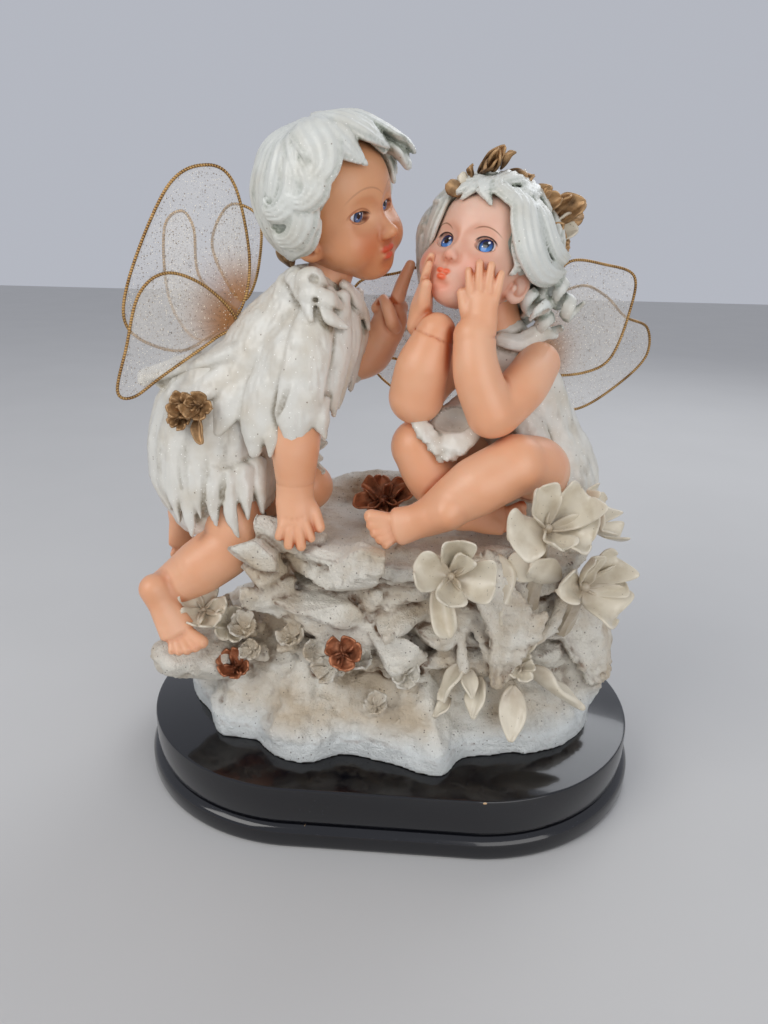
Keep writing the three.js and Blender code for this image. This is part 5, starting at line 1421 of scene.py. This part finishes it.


# Cast resin stone in cream: brown painted shade in the hollows, partly a real wash, cool white painted light
# at the foot where the front light falls, tan patches 30 mm wide, rubbed pale on the edges, partly a painted
# highlight, with two sizes of dark specks and a satin varnish over sandy grit.
def rockSurface(tree):
    spot = addNode(tree, "TexCoord", [], "Object")
    broad, middle, fine, grit = (
        addNode(tree, "TexNoise", {"Vector": spot, "Scale": scale, "Detail": detail, "Roughness": roughness})
        for scale, detail, roughness in ((32, 4, 0.6), (170, 4, 0.65), (1100, 3, 0.6), (430, 5, 0.7)))
    patch = addNode(tree, "MapRange", [broad, 0.42, 0.62, 0, 0.8])
    height = addNode(tree, "SeparateXYZ", [spot], 2)
    # cool white near the bottom: painted light, for the front light on the rock's foot
    foot = addNode(tree, "MapRange", [height, 0.038, 0.048, 0.9, 0])
    uneven = addNode(tree, "MapRange", [middle, 0.35, 0.65, 0.35, 1.3])
    # brown painted shade in hollows and creases, partly a real wash
    shade = pooledWashAndShade(tree, (0.1, 0.6, 0.8), (0.12, 0.5, 0.8))
    shade = addNode(tree, "Math", [shade, uneven], operation="MULTIPLY", use_clamp=True)
    # pale edges: partly rubbed paint, partly a painted highlight
    edge = addNode(tree, "Attribute", [], "Fac", attribute_name="edge")
    worn = addNode(tree, "MapRange", [edge, 0.35, 0.9, 0, 0.5])
    dots = speckMask(tree, spot, 520, 0.12, 0.22, 0.8, 0.8)
    fineDots = speckMask(tree, spot, 1300, 0.12, 0.22, 0.6, 0.72)
    rough = addNode(tree, "MapRange", [middle, 0.3, 0.7, 0.36, 0.62])
    relief = addNode(tree, "Math", [middle, 1.6, fine], operation="MULTIPLY_ADD")
    relief = addNode(tree, "Math", [grit, 1.8, relief], operation="MULTIPLY_ADD")
    bump = addNode(tree, "Bump", {"Height": relief, "Strength": 0.7, "Distance": 0.0014})
    coats = [(patch, "c9b597"), (foot, "e4e9e8"), (shade, "745439"), (worn, "e6e1d3"), (dots, "51402f"),
             (fineDots, "5f4a36")]
    return "ece7da", coats, {"Roughness": rough, "Normal": bump, "Coat Weight": 0.2, "Coat Roughness": 0.22}


# Petals in ivory varnish over resin, brown towards the throat and in patches, with small dark specks.
def petalSurface(tree):
    spot = addNode(tree, "TexCoord", [], "Object")
    broad = addNode(tree, "TexNoise", {"Vector": spot, "Scale": 130, "Detail": 3})
    fine = addNode(tree, "TexNoise", {"Vector": spot, "Scale": 1400, "Detail": 2})
    throat = addNode(tree, "Attribute", [], "Fac", attribute_name="throat")
    inner = addNode(tree, "MapRange", [throat, 0.05, 0.5, 0.85, 0])
    inner = addNode(tree, "Math", [inner, broad], operation="MULTIPLY")
    patch = addNode(tree, "MapRange", [broad, 0.48, 0.7, 0, 0.4])
    dot = speckMask(tree, spot, 700, 0.1, 0.2, 0.6, 0.86)
    rough = addNode(tree, "MapRange", [fine, 0.3, 0.7, 0.28, 0.42])
    bump = addNode(tree, "Bump", {"Height": fine, "Strength": 0.2, "Distance": 0.0003})
    return "ddd4c0", [(inner, "7b5e40"), (patch, "b3a285"), (dot, "5c4a38")], {
        "Roughness": rough, "Normal": bump, "Coat Weight": 0.3, "Coat Roughness": 0.15}


# Metallic paint over resin: dark towards the petals' roots, partly painted shade, and bright in rubbed
# patches and towards their tips, partly a painted highlight.
def metal(tree, dark, bright, metallic):
    spot = addNode(tree, "TexCoord", [], "Object")
    broad = addNode(tree, "TexNoise", {"Vector": spot, "Scale": 260, "Detail": 4, "Roughness": 0.6})
    throat = addNode(tree, "Attribute", [], "Fac", attribute_name="throat")
    # brighter towards the tips: partly a painted highlight
    lit = addNode(tree, "Math", [throat, 0.35, broad], operation="MULTIPLY_ADD")
    share = addNode(tree, "MapRange", [lit, 0.45, 0.85, 0, 1])
    rough = addNode(tree, "MapRange", [broad, 0.3, 0.7, 0.3, 0.55])
    bump = addNode(tree, "Bump", {"Height": broad, "Strength": 0.35, "Distance": 0.0004})
    return dark, [(share, bright)], {"Roughness": rough, "Normal": bump, "Metallic": metallic}


chips = [((-0.0315, -0.0805, 0.0113), (0.0024, 0.0014, 0.0009)),  # place, reach, in metres
         ((0.046, -0.0807, 0.0288), (0.0022, 0.0012, 0.0008))]


# Black gloss lacquer on wood, smeared and dusted, with two chips on the foot that show the pale wood.
def lacquered(tree):
    spot = addNode(tree, "TexCoord", [], "Object")
    smear = addNode(tree, "TexNoise", {"Vector": spot, "Scale": 28, "Detail": 4})
    ragged = addNode(tree, "TexNoise", {"Vector": spot, "Scale": 900, "Detail": 2})
    dust = speckMask(tree, spot, 900, 0.08, 0.16, 0.55, 0.93)
    coats = [(smear, "0c0d14"), (dust, "6a6c78")]
    for place, reach in chips:
        _, far = ovalField(tree, spot, place, reach)
        far = addNode(tree, "Math", [far, ragged], operation="ADD")
        coats.append((addNode(tree, "MapRange", [far, 1.35, 1.45, 1, 0]), "c9a67c"))
    rough = addNode(tree, "MapRange", [smear, 0.35, 0.65, 0.1, 0.2])
    rough = addNode(tree, "Math", [rough, dust], operation="MAXIMUM")
    return "050509", coats, {"Roughness": rough, "Coat Weight": 0.5, "Coat Roughness": 0.05}


# Gold thread wound round a wire: bright on the ridges as a painted highlight, brown between them as painted
# shade.
def goldWinding(tree):
    spot = addNode(tree, "TexCoord", [], "Object")
    worn = addNode(tree, "TexNoise", {"Vector": spot, "Scale": 160, "Detail": 3})
    winding = addNode(tree, "Attribute", [], "Fac", attribute_name="winding")
    # bright on the ridges as a painted highlight, brown in the grooves as painted shade
    share = addNode(tree, "Math", [winding, 0.35, worn], operation="MULTIPLY_ADD")
    share = addNode(tree, "MapRange", [share, 0.2, 0.85, 0, 1])
    rough = addNode(tree, "MapRange", [worn, 0.3, 0.7, 0.34, 0.5])
    return "6b4a2a", [(share, "d3ab70")], {"Roughness": rough, "Metallic": 0.85}


# Sheer nylon: a weave that lets most light through, brown where it is gathered, with dark glitter specks and
# pale ones painted as glints. Its pattern is in millimetres on the wing. Real threads are too fine to show,
# so the weave is drawn 0.3 mm wide.
def sheerNylon(tree):
    weave = addNode(tree, "Attribute", [], "Vector", attribute_name="weaveSpot")
    reach = addNode(tree, "Attribute", [], "Fac", attribute_name="rootReach")
    threads = addNode(tree, "TexNoise", {"Vector": weave, "Scale": 3.2, "Detail": 2, "Roughness": 0.7})
    cloud = addNode(tree, "TexNoise", {"Vector": weave, "Scale": 0.12, "Detail": 2})
    gathered = addNode(tree, "MapRange", [reach, 4, 30, 1, 0], interpolation_type="SMOOTHSTEP")
    clear = addNode(tree, "MapRange", [threads, 0.3, 0.7, 0.12, 0.38])
    clear = addNode(tree, "Math", [cloud, 0.16, clear], operation="MULTIPLY_ADD")
    dense = addNode(tree, "Math", [gathered, 0.5], operation="MULTIPLY")
    alpha = addNode(tree, "Math", [clear, dense], operation="ADD")
    coats = [(gathered, "a9713a")]
    # the pale specks, fff6e0, are painted glints of the glitter
    for scale, share, colour in ((0.85, 0.5, "6e5436"), (1.2, 0.62, "fff6e0"), (1.5, 0.6, "4d4136")):
        dot = speckMask(tree, weave, scale, 0.2, 0.3, 0.85, share)
        coats.append((dot, colour))
        alpha = addNode(tree, "Math", [alpha, dot], operation="MAXIMUM")
    rough = addNode(tree, "MapRange", [threads, 0.3, 0.7, 0.35, 0.6])
    return "e9e4dc", coats, {"Roughness": rough, "Alpha": alpha}


whitePaint = newPaint("pearl white resin", pearl, "dddfd8", "7f8878", "cbc6b6", 0.005)
skirtPaint = newPaint("glittered pearl resin", pearl, "dfddd4", "7d7159", "c8bca6", 0.009)
limbPaint = newPaint("peach flesh resin", skin, "edb590", "e49d70", "b95a28")
# the leaning child's face tones are darker partly as painted shade, for the shade her face is in
faceTones = {"leaning": ("dda277", "d28e60", "ae5830"), "seated": ("eac3ae", "e8b196", "cb6c3c")}
facePaints = {name: newPaint(name + " face paint", faceSkin, name, *faceTones[name]) for name in faceTones}
eyeTones = {"leaning": (2.7, 1.25, "2b3c62", "6f93c9"), "seated": (3.7, 1.75, "14306a", "4e97e6")}
eyePaints = {name: newPaint(name + " eye paint", glaze, *tones) for name, tones in eyeTones.items()}
stonePaint = newPaint("cream rock resin with wash, painted shade and light", rockSurface)
ivoryPaint = newPaint("ivory petal resin", petalSurface)
lacquer = newPaint("gloss black lacquer", lacquered)
copperPaint = newPaint("copper paint", metal, "5c3220", "c0805c", 0.6)
goldPaint = newPaint("antique gold paint", metal, "5c4228", "c09a6e", 0.5)
goldThread = newPaint("gold thread winding", goldWinding)
glitterNylon = newPaint("sheer glitter nylon", sheerNylon)

slots = {"leaning_fairy": "figure_resin", "seated_fairy": "figure_resin", "rock_base": "rock_resin",
         "plinth": "lacquered_wood"}
for name in wings:
    slots[name + "_wire"], slots[name + "_gauze"] = "wing_wire", "wing_gauze"


def settle(piece, node, paint):
    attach(piece, "root")
    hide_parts(node)
    piece.data.materials.clear()
    piece.data.materials.append(paint)
    return piece


for child in ("leaning", "seated"):
    settle(sculptHead(child), child + "_fairy", facePaints[child])
    for number in (0, 1):
        settle(eyeBall(child, number), child + "_fairy", eyePaints[child])
print("heads and eyes made")
settle(sculptBob(), "leaning_fairy", whitePaint)
settle(sculptCurls(), "seated_fairy", whitePaint)
print("hair made")
for limb in (*sculptLeaningArms(), sculptLeaningLegs(), sculptNeck("leaning")):
    settle(limb, "leaning_fairy", limbPaint)
for limb in (sculptSeatedArms(), sculptSeatedLegs(), sculptNeck("seated")):
    settle(limb, "seated_fairy", limbPaint)
print("limbs made")
for dress in (sculptCape(), sculptSkirt()):
    settle(dress, "leaning_fairy", skirtPaint)
settle(sculptGown(), "seated_fairy", skirtPaint)
print("dresses made")
settle(sculptRock(), "rock_base", stonePaint)
settle(makePlinth(), "plinth", lacquer)
print("rock and plinth made")
for name in wings:
    wire = settle(makeWire(name), name + "_wire", goldThread)
    nylon, width, length, area = makeGauze(name)
    settle(nylon, name + "_gauze", glitterNylon)
    print(f"{name}: flat {width * 1000:.1f} x {length * 1000:.1f} mm, {area * 1e6:.0f} square mm")
print("wings made")
for number, orchid in enumerate(orchids, 1):
    at, root = orchid["at"], orchid["from"]
    turn = orchid["yaw"], orchid["lift"]
    flower = makeFlower(f"orchid_{number}", at, *turn, orchid["petals"], seed=number + 2)
    settle(flower, "rock_base", ivoryPaint)
    bend = [at[0], (at[1] + root[1]) / 2, at[2] * 0.7 + root[2] * 0.3]
    settle(makeStem(f"orchid_stem_{number}", [at, bend, root], [2.6, 3.4, 4.8]), "rock_base", ivoryPaint)
flowerPaints = {  # paint, petals' width over their length, their cup
    "copper": (copperPaint, 1.1, 0.8), "white": (ivoryPaint, 1.1, 0.8), "stone": (stonePaint, 1.3, 1.0)}
for number, (at, yaw, lift, size, colour) in enumerate(smallFlowers):
    paint, wide, cup = flowerPaints[colour]
    petals = evenPetals(5, size * 1.1, wide, cup, number + 30)
    flower = makeFlower(f"rock_flower_{number + 1}", at, yaw, lift, petals, 0.1, 0.12, number + 30)
    settle(flower, "rock_base", paint)
petals = evenPetals(7, 14, 0.8, 0.6, 50)
flower = makeFlower("large_copper_flower", [-5, 3, 132], -96, 55, petals, 0.2, 0.2, 50, 0.55)
settle(flower, "rock_base", copperPaint)
for number, blade in enumerate(leafBlades):
    settle(makeLeaf(f"leaf_blade_{number + 1}", *blade, number + 70), "rock_base", ivoryPaint)
for number, (*blade, colour) in enumerate(wreath):
    leaf = makeLeaf(f"wreath_leaf_{number + 1}", *blade, number + 90)
    settle(leaf, "seated_fairy", goldPaint if colour == "gold" else ivoryPaint)
for number, (at, size) in enumerate(hipFlowers):
    petals = evenPetals(5, size, 1.1, 0.75, number + 5)
    flower = makeFlower(f"hip_flower_{number + 1}", at, -90, 15, petals, 0.1, 0.1, number + 5)
    settle(flower, "leaning_fairy", goldPaint)
leaf = makeLeaf("hip_leaf", [-81, -37, 182.5], [-77, -40, 170.5], 6, 0.4, 0.1, 70, 0.7, 9)
settle(leaf, "leaning_fairy", goldPaint)
for number, (root, tip, width) in enumerate(hemLeaves):
    leaf = makeLeaf(f"far_hem_leaf_{number + 1}", root, tip, width, 0.3, 0.2, 80, 0.8, number + 20)
    settle(leaf, "leaning_fairy", skirtPaint)
leaf = makeLeaf("nape_flower", [-47, 3, 240], [-53, 0, 247], 8, 0.5, 0.2, 60, 0.3, 11)
settle(leaf, "leaning_fairy", goldPaint)
print("flowers and leaves made")


# A plain matt floor that takes the object's shadow.
def paleFloor(tree):
    spot = addNode(tree, "TexCoord", [], "Object")
    grain = addNode(tree, "TexNoise", {"Vector": spot, "Scale": 9, "Detail": 2})
    return "c9c8c6", [(grain, "cfcecc")], {"Roughness": 0.75}


bpy.ops.object.select_all(action="DESELECT")
bpy.ops.mesh.primitive_plane_add(size=6)
floor = bpy.context.object
floor.name = "studio_floor"
floor.data.materials.append(newPaint("plain pale floor", paleFloor))

view = {"middle": [-4.7, 0, 128.8], "distance": 369.6, "turn": 3.8, "height": 20.1, "roll": 1.15,
        "lens": 27.07}
turn, height = math.radians(view["turn"]), math.radians(view["height"])
away = np.array([math.sin(turn) * math.cos(height), -math.cos(turn) * math.cos(height), math.sin(height)])
camera = bpy.data.objects.new("photo_camera", bpy.data.cameras.new("photo_camera"))
bpy.context.scene.collection.objects.link(camera)
camera.location = Vector((np.array(view["middle"]) + away * view["distance"]) * 0.001)
camera.rotation_euler = (Vector(-away).to_track_quat("-Z", "Y").to_matrix()
                         @ Matrix.Rotation(math.radians(view["roll"]), 3, "Z")).to_euler()
camera.data.lens, camera.data.sensor_width, camera.data.clip_start = view["lens"], 36, 0.01
bpy.context.scene.camera = camera

lamps = [  # name, place, aim, size, watts, colour
    ("window_light", [-0.9, -0.8, 1.0], [0, 0, 0.16], 0.9, 7.4, (1.0, 0.98, 0.95)),
    ("front_fill", [0.65, -1.1, 0.4], [0, 0, 0.14], 1.0, 5.4, (1.0, 0.98, 0.96)),
    ("back_light", [0.5, 0.8, 0.9], [0, 0, 0.2], 0.7, 3.6, (0.93, 0.96, 1.0)),
]
for name, place, aim, size, watts, colour in lamps:
    lamp = bpy.data.objects.new(name, bpy.data.lights.new(name, "AREA"))
    lamp.data.size, lamp.data.energy, lamp.data.color = size, watts, colour
    lamp.location = place
    lamp.rotation_euler = (Vector(aim) - Vector(place)).to_track_quat("-Z", "Y").to_euler()
    bpy.context.scene.collection.objects.link(lamp)
world = bpy.data.worlds.new("pale_room")
world.use_nodes = True
plug(world.node_tree, world.node_tree.nodes["Background"], ["dfe3ee", 0.62])
bpy.context.scene.world = world
bpy.context.scene.view_settings.view_transform = "Standard"
print("floor, camera and lamps made")
